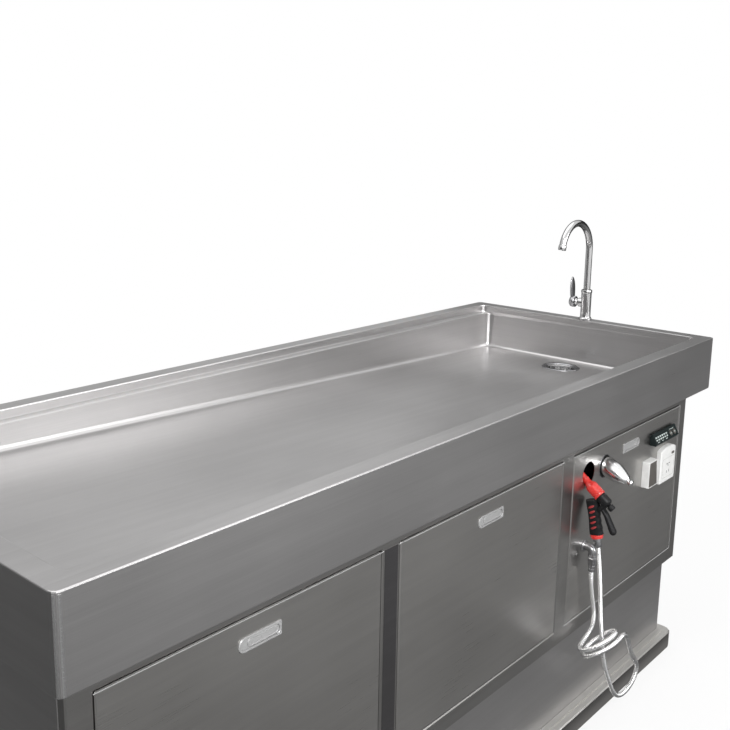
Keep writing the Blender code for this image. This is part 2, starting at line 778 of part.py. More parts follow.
def sheet_frame(name, x_lines, z_lines, open_cells, finish):
    """A front sheet with openings, all its edges folded back."""
    bm = bmesh.new()
    columns, rows = len(x_lines) - 1, len(z_lines) - 1
    bmesh.ops.create_grid(bm, x_segments=columns, y_segments=rows, size=1.0)
    for vert in bm.verts:
        column = round((vert.co.x + 1) / 2 * columns)
        row = round((vert.co.y + 1) / 2 * rows)
        vert.co = Vector((x_lines[column], FRONT, z_lines[row]))
    bm.normal_update()
    doomed = []
    for face in bm.faces:
        middle = face.calc_center_median()
        for low_x, high_x, low_z, high_z in open_cells:
            if low_x < middle.x < high_x and low_z < middle.z < high_z:
                doomed.append(face)
    bmesh.ops.delete(bm, geom=doomed, context="FACES")
    rim = [edge for edge in bm.edges if len(edge.link_faces) == 1]
    fold = bmesh.ops.extrude_edge_only(bm, edges=rim)["geom"]
    bmesh.ops.translate(bm, vec=(0, SHELL_DEPTH, 0),
                        verts=[item for item in fold if isinstance(item, bmesh.types.BMVert)])
    bmesh.ops.recalc_face_normals(bm, faces=bm.faces)
    bm.normal_update()
    if sum(face.normal.y * face.calc_area() for face in bm.faces) > 0:
        bmesh.ops.reverse_faces(bm, faces=bm.faces)
    obj = from_bmesh(name, bm, finish, (0, FRONT, (z_lines[0] + z_lines[-1]) / 2))
    bevel(obj, EDGE_RADIUS, PANEL_FOLD_STEPS)
    return solidify(obj, SHEET)


def make_shell():
    x_lines, open_cells = [-SHELL_X], []
    for index in range(BAYS):
        low, high = bay_centre(index) - BAY_WIDTH / 2, bay_centre(index) + BAY_WIDTH / 2
        x_lines += [low, high]
        open_cells.append((low, high, OPENING_BOTTOM, OPENING_TOP))
    x_lines.append(SHELL_X)
    front = sheet_frame("front_frame", x_lines, [SHELL_BOTTOM, OPENING_BOTTOM, OPENING_TOP, SHELL_TOP],
                        open_cells, STEEL)
    for index in range(BAYS):
        for side in (-1, 1):
            x = bay_centre(index) + side * BAY_WIDTH / 2
            for number, z in enumerate(pin_heights(index)):
                cut(front, rod(f"pin_hole_{index}_{side}_{number}", (x - CUT, PIVOT_Y, z),
                               (x + CUT, PIVOT_Y, z), PIVOT_RADIUS + GAP, STEEL, sides=SMALL_ROUND))
    back = tray("back_panel", (-SHELL_X, SHELL_Y - SHELL_DEPTH, SHELL_BOTTOM), (SHELL_X, SHELL_Y, SHELL_TOP),
                (0, -1, 0), STEEL)
    for number, x in enumerate(SUPPLY_X):
        cut(back, rod("supply_hole" + str(number), (x, SHELL_Y - SHEET - CUT, MIXER_Z),
                      (x, SHELL_Y + CUT, MIXER_Z), PIPE_RADIUS + GAP, STEEL))
    ends = []
    for name, side in (("end_panel_left", -1), ("end_panel_right", 1)):
        near, far = side * (SHELL_X - SHELL_DEPTH), side * SHELL_X
        flank = SHELL_Y - SHELL_DEPTH - GAP
        ends.append(tray(name, (min(near, far), -flank, SHELL_BOTTOM), (max(near, far), flank, SHELL_TOP),
                         (-side, 0, 0), STEEL))
    return [front, back, *ends]


def ledge_height(x):
    """Height of the tub's inner step, level along the long walls and lower round the ends."""
    share = max(abs(x) - (BASIN_X - BASIN_CORNER), 0) / BASIN_CORNER
    return RIM_HEIGHT - LEDGE_DEPTH - LEDGE_END_DROP * share


def make_tub():
    apron = HALF_LENGTH, HALF_WIDTH
    rings = [
        rounded_rectangle(apron[0] - RETURN_FLANGE, apron[1] - RETURN_FLANGE, APRON_CORNER, APRON_BOTTOM),
        rounded_rectangle(*apron, APRON_CORNER, APRON_BOTTOM),
        rounded_rectangle(*apron, APRON_CORNER, RIM_HEIGHT),
        rounded_rectangle(BASIN_X, BASIN_Y, BASIN_CORNER, RIM_HEIGHT),
        rounded_rectangle(BASIN_X, BASIN_Y, BASIN_CORNER, RIM_HEIGHT - LEDGE_DEPTH),
    ]
    low_x, low_y = BASIN_X, BASIN_Y - LEDGE_WIDTH
    rings.append(rounded_rectangle(low_x, low_y, BASIN_CORNER, ledge_height))
    for step in range(COVE_STEPS + 1):
        turn = step / COVE_STEPS * math.pi / 2
        inset = COVE * (1 - math.cos(turn))
        rise = COVE * (1 - math.sin(turn))
        rings.append(rounded_rectangle(low_x - inset, low_y - inset, BASIN_CORNER - inset,
                                       lambda x, rise=rise: floor_height(x) + rise))
    tub = open_loft("tub", rings, STEEL, (0, 0, RIM_HEIGHT), cap_last=True)
    bevel(tub, FOLD_RADIUS, FOLD_STEPS, degrees=40)
    solidify(tub, SHEET)
    centre = Vector((DRAIN_X, 0, floor_height(DRAIN_X)))
    cut(tub, rod("drain_hole", centre + FLOOR_NORMAL * CUT * 2, centre - FLOOR_NORMAL * CUT * 2,
                 DRAIN_CUP_RADIUS + DRAIN_WALL + GAP, STEEL, sides=LARGE_ROUND))
    cut(tub, rod("tap_hole", (TAP_X, TAP_Y, RIM_HEIGHT - CUT), (TAP_X, TAP_Y, RIM_HEIGHT + CUT),
                 TAP_SHANK_RADIUS + GAP, STEEL))
    return tub


# Doors and pulls


def make_pull(index, flip):
    """A flush pull: plate with a cup through the panel, and a flap on an upright pin."""
    x = bay_centre(index)
    z = OPENING_TOP - DOOR_GAP - PULL_DROP
    half_l, half_h = PULL_LENGTH / 2, PULL_HEIGHT / 2
    radius = half_h
    outline = []
    for step in range(2 * CORNER_STEPS + 1):
        turn = math.pi / 2 + step / (2 * CORNER_STEPS) * math.pi
        outline.append((-half_l + radius + radius * math.cos(turn), radius * math.sin(turn)))
    outline += [(half_l, -half_h), (half_l, half_h)]
    plate = slab("pull_plate_" + str(index + 1), outline, x, z, SURFACE - PULL_PLATE, SURFACE, flip, CHROME)
    inner_l, inner_h = half_l - PULL_MARGIN, half_h - PULL_MARGIN
    back = SURFACE + PULL_CUP_DEPTH
    cup = block("cup_skin" + str(index), (x - inner_l - PULL_CUP_WALL, SURFACE - PULL_PLATE / 2,
                                          z - inner_h - PULL_CUP_WALL),
                (x + inner_l + PULL_CUP_WALL, back, z + inner_h + PULL_CUP_WALL), CHROME)
    hollow = block("cup_hollow" + str(index), (x - inner_l, SURFACE - PULL_PLATE - CUT, z - inner_h),
                   (x + inner_l, back - PULL_CUP_WALL, z + inner_h), CHROME)
    join(plate, cup)
    cut(plate, hollow)
    hole = block("pull_hole" + str(index),
                 (x - inner_l - PULL_CUP_WALL - GAP, FRONT - CUT, z - inner_h - PULL_CUP_WALL - GAP),
                 (x + inner_l + PULL_CUP_WALL + GAP, FRONT + CUT, z + inner_h + PULL_CUP_WALL + GAP), STEEL)

    hinge_x = x + flip * (inner_l - PULL_PIN_RADIUS - 2 * GAP)
    front = SURFACE - PULL_PLATE + PULL_FLAP_SINK
    free_x = x - flip * (inner_l - PULL_FINGER)
    low_x, high_x = min(hinge_x, free_x), max(hinge_x, free_x)
    clear = 2 * GAP
    pin_y = front + PULL_PIN_RADIUS
    flap = block("pull_flap_" + str(index + 1), (low_x, front, z - inner_h + clear),
                 (high_x, front + PULL_FLAP, z + inner_h - clear), CHROME, centre=(hinge_x, pin_y, z))
    pin = rod("flap_pin" + str(index), (hinge_x, pin_y, z - inner_h + clear),
              (hinge_x, pin_y, z + inner_h - clear), PULL_PIN_RADIUS, CHROME, sides=SMALL_ROUND)
    join(flap, pin)
    return plate, carry("flap_axis_" + str(index + 1), (hinge_x, pin_y, z), flap), hole


def slab(name, outline, x, z, low_y, high_y, flip, finish, centre=None):
    """A flat outline in the front's plane, mirrored where flip is -1, given a thickness."""
    bm = bmesh.new()
    verts = [bm.verts.new((x + flip * dx, low_y, z + dz)) for dx, dz in outline]
    face = bm.faces.new(verts)
    grown = bmesh.ops.extrude_face_region(bm, geom=[face])["geom"]
    bmesh.ops.translate(bm, vec=(0, high_y - low_y, 0),
                        verts=[item for item in grown if isinstance(item, bmesh.types.BMVert)])
    bmesh.ops.recalc_face_normals(bm, faces=bm.faces)
    return smooth(from_bmesh(name, bm, finish, centre or (x, low_y, z)))


def make_front_panel(name, index, centre):
    """A folded panel that fills a bay of the front, with its side pins."""
    x = bay_centre(index)
    half = BAY_WIDTH / 2 - DOOR_GAP
    panel = tray(name, (x - half, FRONT, OPENING_BOTTOM + DOOR_GAP),
                 (x + half, FRONT + DOOR_DEPTH, OPENING_TOP - DOOR_GAP), (0, 1, 0), STEEL, centre=centre)
    for side in (-1, 1):
        start = x + side * (half - SHEET / 2)
        for number, z in enumerate(pin_heights(index)):
            join(panel, rod(f"pin_{index}_{side}_{number}", (start, PIVOT_Y, z),
                            (start + side * PIVOT_LENGTH, PIVOT_Y, z), PIVOT_RADIUS, STEEL,
                            sides=SMALL_ROUND))
    return panel


def make_doors():
    for index in range(BAYS - 1):
        place = (bay_centre(index), PIVOT_Y, pin_heights(index)[0])
        door = make_front_panel("door_" + str(index + 1), index, place)
        plate, flap_axis, hole = make_pull(index, 1)
        cut(door, hole)
        axis = carry("door_axis_" + str(index + 1), place, door, plate)
        hang(flap_axis, axis)


def make_control_panel():
    index = BAYS - 1
    panel = make_front_panel("control_panel", index, (bay_centre(index), PIVOT_Y, pin_heights(index)[0]))
    plate, flap_axis, hole = make_pull(index, -1)
    cut(panel, hole)
    for name, hole_x, hole_z, radius in (("holster", HOLSTER_X, HOLSTER_Z, HOLSTER_RADIUS),
                                         ("mixer", MIXER_X, MIXER_Z, MIXER_HOLE_RADIUS),
                                         ("outlet", OUTLET_X, OUTLET_Z, ELBOW_RADIUS + GAP)):
        cut(panel, rod(name + "_hole", (hole_x, FRONT - CUT, hole_z), (hole_x, FRONT + CUT, hole_z), radius,
                       STEEL, sides=LARGE_ROUND))
    return [panel, plate, flap_axis]


# Waste


def make_waste():
    centre = Vector((DRAIN_X, 0, floor_height(DRAIN_X))) + FLOOR_NORMAL * GAP
    cup, wall = DRAIN_CUP_RADIUS, DRAIN_WALL
    body = turned("drain_body",
                  [(DRAIN_FLANGE_RADIUS, DRAIN_FLANGE / 2), (DRAIN_FLANGE_RADIUS, 0), (cup + wall, 0),
                   (cup + wall, -DRAIN_CUP_DEPTH - wall), (SPIGOT_RADIUS + wall, -DRAIN_CUP_DEPTH - wall),
                   (SPIGOT_RADIUS + wall, -DRAIN_CUP_DEPTH - SPIGOT_LENGTH),
                   (SPIGOT_RADIUS, -DRAIN_CUP_DEPTH - SPIGOT_LENGTH), (SPIGOT_RADIUS, -DRAIN_CUP_DEPTH),
                   (cup, -DRAIN_CUP_DEPTH), (cup, -DRAIN_LIP / 2), (cup + DRAIN_LIP, DRAIN_FLANGE),
                   (DRAIN_FLANGE_RADIUS - DRAIN_FLANGE, DRAIN_FLANGE)],
                  centre, FLOOR_NORMAL, STEEL, ring=True, sides=LARGE_ROUND)
    nut = ring_nut("drain_nut", centre - FLOOR_NORMAL * (SHEET + 2 * GAP), -FLOOR_NORMAL, NUT_RADIUS,
                   NUT_HEIGHT, cup + wall + GAP, SMALL_ROUND)

    rest = -BASKET_DEPTH
    basket = turned("strainer_basket",
                    [(0, rest + BASKET_DEPTH / 2), (BASKET_KNOB_RADIUS, rest + BASKET_DEPTH / 2),
                     (BASKET_KNOB_RADIUS, rest + BASKET_DEPTH / 3),
                     (BASKET_KNOB_RADIUS / 2, rest + BASKET_DEPTH / 4),
                     (BASKET_KNOB_RADIUS / 2, rest + wall),
                     (BASKET_RADIUS - wall * 3, rest + wall), (BASKET_RADIUS - wall, -wall * 2),
                     (cup - GAP, -wall), (cup - GAP, -wall * 2), (BASKET_RADIUS, -wall * 3),
                     (BASKET_RADIUS - wall * 2, rest), (0, rest)][::-1],
                    centre, FLOOR_NORMAL, STEEL, sides=LARGE_ROUND)
    for step in range(BASKET_HOLES):
        turn = step / BASKET_HOLES * math.tau
        reach = (BASKET_RADIUS + BASKET_KNOB_RADIUS) / 2
        place = centre + Vector((reach * math.cos(turn), reach * math.sin(turn), rest))
        cut(basket, rod("basket_hole" + str(step), place - FLOOR_NORMAL * CUT, place + FLOOR_NORMAL * CUT,
                        BASKET_HOLE, STEEL, sides=BASKET_HOLE_SIDES))
    carry("basket_axis", centre, basket)

    spigot_end = centre - FLOOR_NORMAL * (DRAIN_CUP_DEPTH + SPIGOT_LENGTH)
    trap_top = spigot_end.z - (SPIGOT_RADIUS + wall) * math.sin(FLOOR_FALL) - GAP
    trap = rod("drain_trap", (spigot_end.x, 0, trap_top - TRAP_HEIGHT), (spigot_end.x, 0, trap_top),
               TRAP_RADIUS, PVC)
    waste_x = DRAIN_X - TRAP_ARM
    arm_z = trap_top - TRAP_HEIGHT / 3
    knots = [(spigot_end.x, 0, arm_z), (waste_x, 0, arm_z), (waste_x, 0, WASTE_BOTTOM)]
    join(trap, pipe("trap_arm", bent(knots, WASTE_BEND), WASTE_RADIUS, PVC, joined=True))
    cut(trap, rod("waste_bore", (waste_x, 0, WASTE_BOTTOM - CUT), (waste_x, 0, arm_z - WASTE_BEND),
                  WASTE_RADIUS - wall, PVC))
    return [body, nut, trap]


# Gooseneck tap


def make_tap():
    deck = RIM_HEIGHT + GAP
    body = turned("tap_body",
                  [(0, TAP_BODY_HEIGHT), (TAP_BODY_RADIUS - TAP_COLLAR / 4, TAP_BODY_HEIGHT),
                   (TAP_BODY_RADIUS, TAP_BODY_HEIGHT - TAP_COLLAR / 4),
                   (TAP_BODY_RADIUS, TAP_BODY_HEIGHT - TAP_COLLAR),
                   (TAP_BODY_RADIUS - TAP_COLLAR / 8, TAP_BODY_HEIGHT - TAP_COLLAR),
                   (TAP_BODY_RADIUS - TAP_COLLAR / 8, TAP_FLANGE * 2), (TAP_FLANGE_RADIUS, TAP_FLANGE),
                   (TAP_FLANGE_RADIUS, 0), (TAP_SHANK_RADIUS, 0), (TAP_SHANK_RADIUS, -TAP_SHANK_LENGTH),
                   (0, -TAP_SHANK_LENGTH)], (TAP_X, TAP_Y, deck), (0, 0, 1), CHROME)
    boss_z = deck + TAP_BOSS_HEIGHT
    boss_end = TAP_Y + TAP_BOSS_REACH
    join(body, rod("tap_boss", (TAP_X, TAP_Y, boss_z), (TAP_X, boss_end, boss_z), TAP_BOSS_RADIUS, CHROME))
    nut = ring_nut("tap_nut", (TAP_X, TAP_Y, RIM_HEIGHT - SHEET - GAP), (0, 0, -1), TAP_NUT_RADIUS,
                   TAP_NUT_HEIGHT, TAP_SHANK_RADIUS + GAP, 6)

    stem_foot = deck + TAP_BODY_HEIGHT + GAP
    arch_z = RIM_HEIGHT + SPOUT_TOP - SPOUT_RADIUS - SPOUT_ARCH
    points = [Vector((TAP_X, TAP_Y, stem_foot)), Vector((TAP_X, TAP_Y, arch_z))]
    sweep = math.radians(SPOUT_SWEEP_DEG)
    for step in range(1, SPOUT_STEPS + 1):
        turn = sweep * step / SPOUT_STEPS
        points.append(Vector((TAP_X - SPOUT_ARCH + SPOUT_ARCH * math.cos(turn), TAP_Y,
                              arch_z + SPOUT_ARCH * math.sin(turn))))
    spout = pipe("tap_spout", points, SPOUT_RADIUS, CHROME, resolution=4)
    heading = (points[-1] - points[-2]).normalized()
    mouth = points[-1] + heading * GAP
    aerator = turned("tap_aerator",
                     [(0, 0), (AERATOR_RADIUS - AERATOR_LENGTH / 10, 0),
                      (AERATOR_RADIUS, -AERATOR_LENGTH / 10),
                      (AERATOR_RADIUS, -AERATOR_LENGTH),
                      (AERATOR_RADIUS - AERATOR_LENGTH / 5, -AERATOR_LENGTH),
                      (AERATOR_RADIUS - AERATOR_LENGTH / 5, -AERATOR_LENGTH * 4 / 5),
                      (0, -AERATOR_LENGTH * 4 / 5)], mouth, -heading, CHROME)
    carry("spout_axis", (TAP_X, TAP_Y, stem_foot), spout, aerator)

    ball_y = boss_end + GAP + TAP_BALL_RADIUS
    pivot = Vector((TAP_X, ball_y, boss_z))
    hub = ball("tap_hub", pivot, TAP_BALL_RADIUS, CHROME, sides=SMALL_ROUND)
    join(hub, rod("hub_neck", (TAP_X, boss_end + GAP, boss_z), pivot, TAP_NECK_RADIUS, CHROME,
                  sides=SMALL_ROUND))
    hub_axis = carry("tap_hub_axis", pivot, hub)
    cap = turned("tap_lever", [(0, LEVER_CAP_LENGTH), (LEVER_CAP_RADIUS * LEVER_CAP_SHARE, LEVER_CAP_LENGTH),
                               (LEVER_CAP_RADIUS, LEVER_CAP_LENGTH * LEVER_CAP_SHARE),
                               (LEVER_CAP_RADIUS, 0), (0, 0)],
                 pivot, (0, 1, 0), CHROME)
    blade_y = ball_y + LEVER_CAP_LENGTH - LEVER_BLADE_THICKNESS * LEVER_BLADE_SEAT_SHARE
    foot_width = LEVER_CAP_RADIUS
    rings = []
    for step in range(LEVER_STEPS + 1):
        share = step / LEVER_STEPS
        swell = math.sin(share * math.pi * LEVER_BULGE_SHARE)
        width = foot_width / 2 + (LEVER_BLADE_WIDTH - foot_width) / 2 * swell
        width *= math.sqrt(1 - share ** LEVER_TIP_POWER)
        width = max(width, LEVER_BLADE_THICKNESS / 2)
        z = boss_z + share * (LEVER_BLADE_HEIGHT + LEVER_CAP_RADIUS)
        y = blade_y + LEVER_BLADE_THICKNESS * share
        rings.append(oval(Vector((TAP_X, y, z)), Vector((1, 0, 0)), Vector((0, 1, 0)), 2 * width,
                          LEVER_BLADE_THICKNESS, SMALL_ROUND))
    blade = loft("lever_blade", rings, CHROME, pivot, close=True)
    join(cap, smooth(blade))
    cut(cap, ball("lever_socket", pivot, TAP_BALL_RADIUS + TAP_BALL_GAP, CHROME))
    lever_axis = carry("tap_lever_axis", pivot, cap)
    hang(lever_axis, hub_axis)
    return [body, nut]


# Concealed mixer and pipes


def make_mixer():
    """The valve clamped behind the panel, its ball and petal-shaped lever, and its pipes."""
    pivot = Vector((MIXER_X, FRONT - MIXER_BALL_OUT, MIXER_Z))
    seat = FRONT + SHEET + GAP
    rear = seat + MIXER_BODY_LENGTH
    body = turned("mixer_body",
                  [(0, -MIXER_RECESS), (MIXER_RECESS_RADIUS, -MIXER_RECESS), (MIXER_RECESS_RADIUS, 0),
                   (MIXER_FLANGE_RADIUS, 0), (MIXER_FLANGE_RADIUS, -MIXER_FLANGE),
                   (MIXER_BODY_RADIUS, -MIXER_FLANGE), (MIXER_BODY_RADIUS, -MIXER_BODY_LENGTH),
                   (0, -MIXER_BODY_LENGTH)], (MIXER_X, seat, MIXER_Z), (0, -1, 0), BRASS)
    outlet_y = FRONT + ELBOW_TAIL - PIPE_RADIUS
    drop_z = MIXER_Z - OUTLET_PIPE_DROP
    end_z = OUTLET_Z + ELBOW_RADIUS + GAP
    pipe_top = MIXER_Z - (MIXER_BODY_RADIUS + MIXER_RECESS_RADIUS) / 2
    knots = [(MIXER_X, outlet_y, pipe_top), (MIXER_X, outlet_y, drop_z),
             (OUTLET_X, outlet_y, (drop_z + end_z) / 2), (OUTLET_X, outlet_y, end_z)]
    join(body, pipe("outlet_pipe", bent(knots, PIPE_BEND), PIPE_RADIUS, BRASS, joined=True))
    lifted = [body]
    for number, (side, lead, supply_x) in enumerate(zip((-1, 1), SUPPLY_LEAD, SUPPLY_X), start=1):
        x = MIXER_X + side * MIXER_BODY_RADIUS / 2
        port_end = rear + MIXER_PORT_LENGTH
        join(body, rod("mixer_port" + str(number), (x, rear - MIXER_FLANGE, MIXER_Z), (x, port_end, MIXER_Z),
                       MIXER_PORT_RADIUS, BRASS, sides=6))
        wall_y = SHELL_Y + UNION_LENGTH
        knots = [(x, port_end + GAP, MIXER_Z), (x, port_end + lead, MIXER_Z),
                 (supply_x, port_end + lead, MIXER_Z), (supply_x, wall_y, MIXER_Z)]
        supply = pipe("supply_pipe_" + str(number), bent(knots, PIPE_BEND), PIPE_RADIUS, BRASS, joined=True)
        join(supply, rod("union" + str(number), (supply_x, SHELL_Y + GAP, MIXER_Z),
                         (supply_x, wall_y, MIXER_Z), UNION_RADIUS, BRASS, sides=6))
        lifted.append(supply)

    hub = ball("mixer_hub", pivot, MIXER_BALL_RADIUS, CHROME, sides=SMALL_ROUND)
    join(hub, rod("mixer_neck", (MIXER_X, seat + MIXER_RECESS - GAP, MIXER_Z), pivot, MIXER_NECK_RADIUS,
                  CHROME, sides=SMALL_ROUND))
    hub_axis = carry("mixer_hub_axis", pivot, hub)

    droop = math.radians(MIXER_LEVER_DROOP_DEG)
    along = Vector((0, -math.cos(droop), -math.sin(droop)))
    up = Vector((0, -math.sin(droop), math.cos(droop)))
    side_way = Vector((1, 0, 0))
    rings = []
    for step in range(MIXER_LEVER_STEPS + 1):
        share = step / MIXER_LEVER_STEPS
        back = max(1 - share / MIXER_LEVER_ROUND_SHARE, 0)
        bulge = 1 - (1 - MIXER_LEVER_BACK_SHARE) * back ** 2
        width = MIXER_LEVER_WIDTH + (MIXER_LEVER_TIP - MIXER_LEVER_WIDTH) * share ** MIXER_LEVER_WIDTH_POWER
        narrowing = MIXER_LEVER_THICKNESS - MIXER_LEVER_TIP_THICKNESS
        height = MIXER_LEVER_THICKNESS - narrowing * share ** MIXER_LEVER_THICKNESS_POWER
        if step == MIXER_LEVER_STEPS:
            bulge = MIXER_LEVER_END_SHARE
        width *= bulge
        height *= bulge
        centre = pivot + along * (share * MIXER_LEVER_LENGTH)
        rings.append(oval(centre, side_way, up, width, height))
    lever = smooth(loft("mixer_lever", rings, CHROME, pivot, close=True))
    cut(lever, ball("mixer_socket", pivot, MIXER_BALL_RADIUS + MIXER_BALL_GAP, CHROME))
    lever_axis = carry("mixer_lever_axis", pivot, lever)
    hang(lever_axis, hub_axis)

    return lifted


def bent(knots, radius, steps=CORNER_STEPS):
    """A line through knots whose corners are arcs."""
    knots = [Vector(knot) for knot in knots]
    points = [knots[0]]
    for before, corner, after in zip(knots, knots[1:], knots[2:]):
        back, ahead = (before - corner).normalized(), (after - corner).normalized()
        half_turn = back.angle(ahead) / 2
        middle = corner + (back + ahead).normalized() * (radius / math.sin(half_turn))
        first = (corner + back * (radius / math.tan(half_turn)) - middle).normalized()
        last = (corner + ahead * (radius / math.tan(half_turn)) - middle).normalized()
        points += [middle + first.slerp(last, step / steps) * radius for step in range(steps + 1)]
    points.append(knots[-1])
    return points


def flow(knots, count, before=None, after=None):
    """Evenly numbered points on a smooth curve through the knots, led by the points beyond its ends."""
    knots = [Vector(knot) for knot in knots]
    padded = [before or 2 * knots[0] - knots[1], *knots, after or 2 * knots[-1] - knots[-2]]
    spans = len(knots) - 1
    points = []
    for index in range(count):
        place = index / (count - 1) * spans
        span = min(int(place), spans - 1)
        t = place - span
        a, b, c, d = padded[span:span + 4]
        points.append(0.5 * ((2 * b) + (c - a) * t + (2 * a - 5 * b + 4 * c - d) * t ** 2
                             + (3 * b - a - 3 * c + d) * t ** 3))
    return points


# Hose outlet and hose


def make_outlet():
    """The chrome elbow through the panel and the nut that holds the hose's crimped ferrule."""
    axis_y = FRONT - ELBOW_REACH
    elbow_end = OUTLET_Z - ELBOW_DROP
    knots = [(OUTLET_X, FRONT + ELBOW_TAIL, OUTLET_Z), (OUTLET_X, axis_y, OUTLET_Z),
             (OUTLET_X, axis_y, elbow_end)]
    elbow = pipe("outlet_elbow", bent(knots, ELBOW_BEND), ELBOW_RADIUS, CHROME, resolution=4, joined=True)
    join(elbow, rod("rosette", (OUTLET_X, SURFACE, OUTLET_Z),
                    (OUTLET_X, SURFACE - ROSETTE_LENGTH, OUTLET_Z), ROSETTE_RADIUS, CHROME))
    nut_top = elbow_end - GAP
    nut_end = nut_top - HOSE_NUT_HEIGHT
    nut = rod("hose_nut", (OUTLET_X, axis_y, nut_top), (OUTLET_X, axis_y, nut_end), HOSE_NUT_RADIUS,
              CHROME, sides=6)
    ferrule_end = nut_end - FERRULE_LENGTH
    join(nut, rod("ferrule", (OUTLET_X, axis_y, nut_end + CUT), (OUTLET_X, axis_y, ferrule_end),
                  FERRULE_RADIUS, CHROME))
    return [elbow, nut], Vector((OUTLET_X, axis_y, ferrule_end))


# Route of the hose, chosen by hand: from the ferrule to the coil, and from the coil to the gun
RUN_KNOTS = [
    (0.4574, -0.3970, 0.4337), (0.4632, -0.3970, 0.4096), (0.4701, -0.3970, 0.3859),
    (0.4779, -0.3971, 0.3624), (0.4832, -0.3981, 0.3383), (0.4774, -0.3998, 0.3146),
    (0.4605, -0.4010, 0.2969),
]
LOOP_KNOTS = [
    (0.4858, -0.4901, 0.3128), (0.5130, -0.4844, 0.2836), (0.5361, -0.4802, 0.2508),
    (0.5603, -0.4777, 0.2184), (0.5882, -0.4748, 0.1894), (0.6147, -0.4719, 0.1596),
    (0.6169, -0.4662, 0.1206), (0.5909, -0.4592, 0.0916), (0.5519, -0.4545, 0.0888),
    (0.5202, -0.4523, 0.1124), (0.4985, -0.4512, 0.1464), (0.4790, -0.4494, 0.1819),
    (0.4615, -0.4483, 0.2184), (0.4477, -0.4482, 0.2564), (0.4397, -0.4490, 0.2960),
    (0.4366, -0.4438, 0.3360), (0.4384, -0.4386, 0.3761), (0.4406, -0.4339, 0.4162),
    (0.4417, -0.4293, 0.4564), (0.4433, -0.4243, 0.4965),
]


def coil_point(degrees):
    """A point of the tilted coil, which winds anticlockwise about its axis and down along it."""
    axis = Vector(COIL_AXIS).normalized()
    along = Vector(COIL_LONG_WAY)
    along = (along - axis * along.dot(axis)).normalized()
    across = axis.cross(along)
    angle = math.radians(degrees)
    return (Vector(COIL_CENTRE) + along * COIL_RADIUS * math.cos(angle)
            + across * COIL_RADIUS * math.sin(angle) - axis * COIL_PITCH * (degrees - COIL_START_DEG) / 360)


def stretch(start, start_way, knots, end, end_way, count):
    """A free stretch of hose, straight for one diameter where it leaves and where it arrives."""
    first = start + start_way * 2 * HOSE_RADIUS
    last = end - end_way * 2 * HOSE_RADIUS
    return [start, *flow([first, *knots, last], count, start, end), end]


def make_hose(start, gun_end, gun_way):
    """The hose in three stretches: down from the ferrule, the coil, and the loop up to the gun."""
    sweep = COIL_END_DEG - COIL_START_DEG
    count = round(sweep / 360 * COIL_POINTS_PER_TURN)
    coil = [coil_point(COIL_START_DEG + sweep * step / count) for step in range(count + 1)]
    way_in = (coil[1] - coil[0]).normalized()
    way_out = (coil[-1] - coil[-2]).normalized()
    lead = 2 * HOSE_RADIUS
    coil = [coil[0] - way_in * lead, *coil, coil[-1] + way_out * lead]
    down = Vector((0, 0, -1))
    run = stretch(start + down * GAP, down, RUN_KNOTS, coil[0] - way_in * GAP, way_in, RUN_POINTS)
    loop = stretch(coil[-1] + way_out * GAP, way_out, LOOP_KNOTS, gun_end + gun_way * GAP, -gun_way,
                   LOOP_POINTS)
    pieces = [pipe("hose_run", run, HOSE_RADIUS, CHROME),
              pipe("hose_coil", coil, HOSE_RADIUS, CHROME, resolution=1),
              pipe("hose_loop", loop, HOSE_RADIUS, CHROME)]
    whole = run + coil + loop
    length = sum((after - before).length for before, after in zip(whole, whole[1:]))
    skip = COIL_POINTS_PER_TURN // 2
    least = min((one - other).length for index, one in enumerate(coil) for other in coil[index + skip:])
    print("hose length", round(length, 4), "least gap of the coil to itself",
          round(least - 2 * HOSE_RADIUS, 5))
    return pieces


# Spray gun


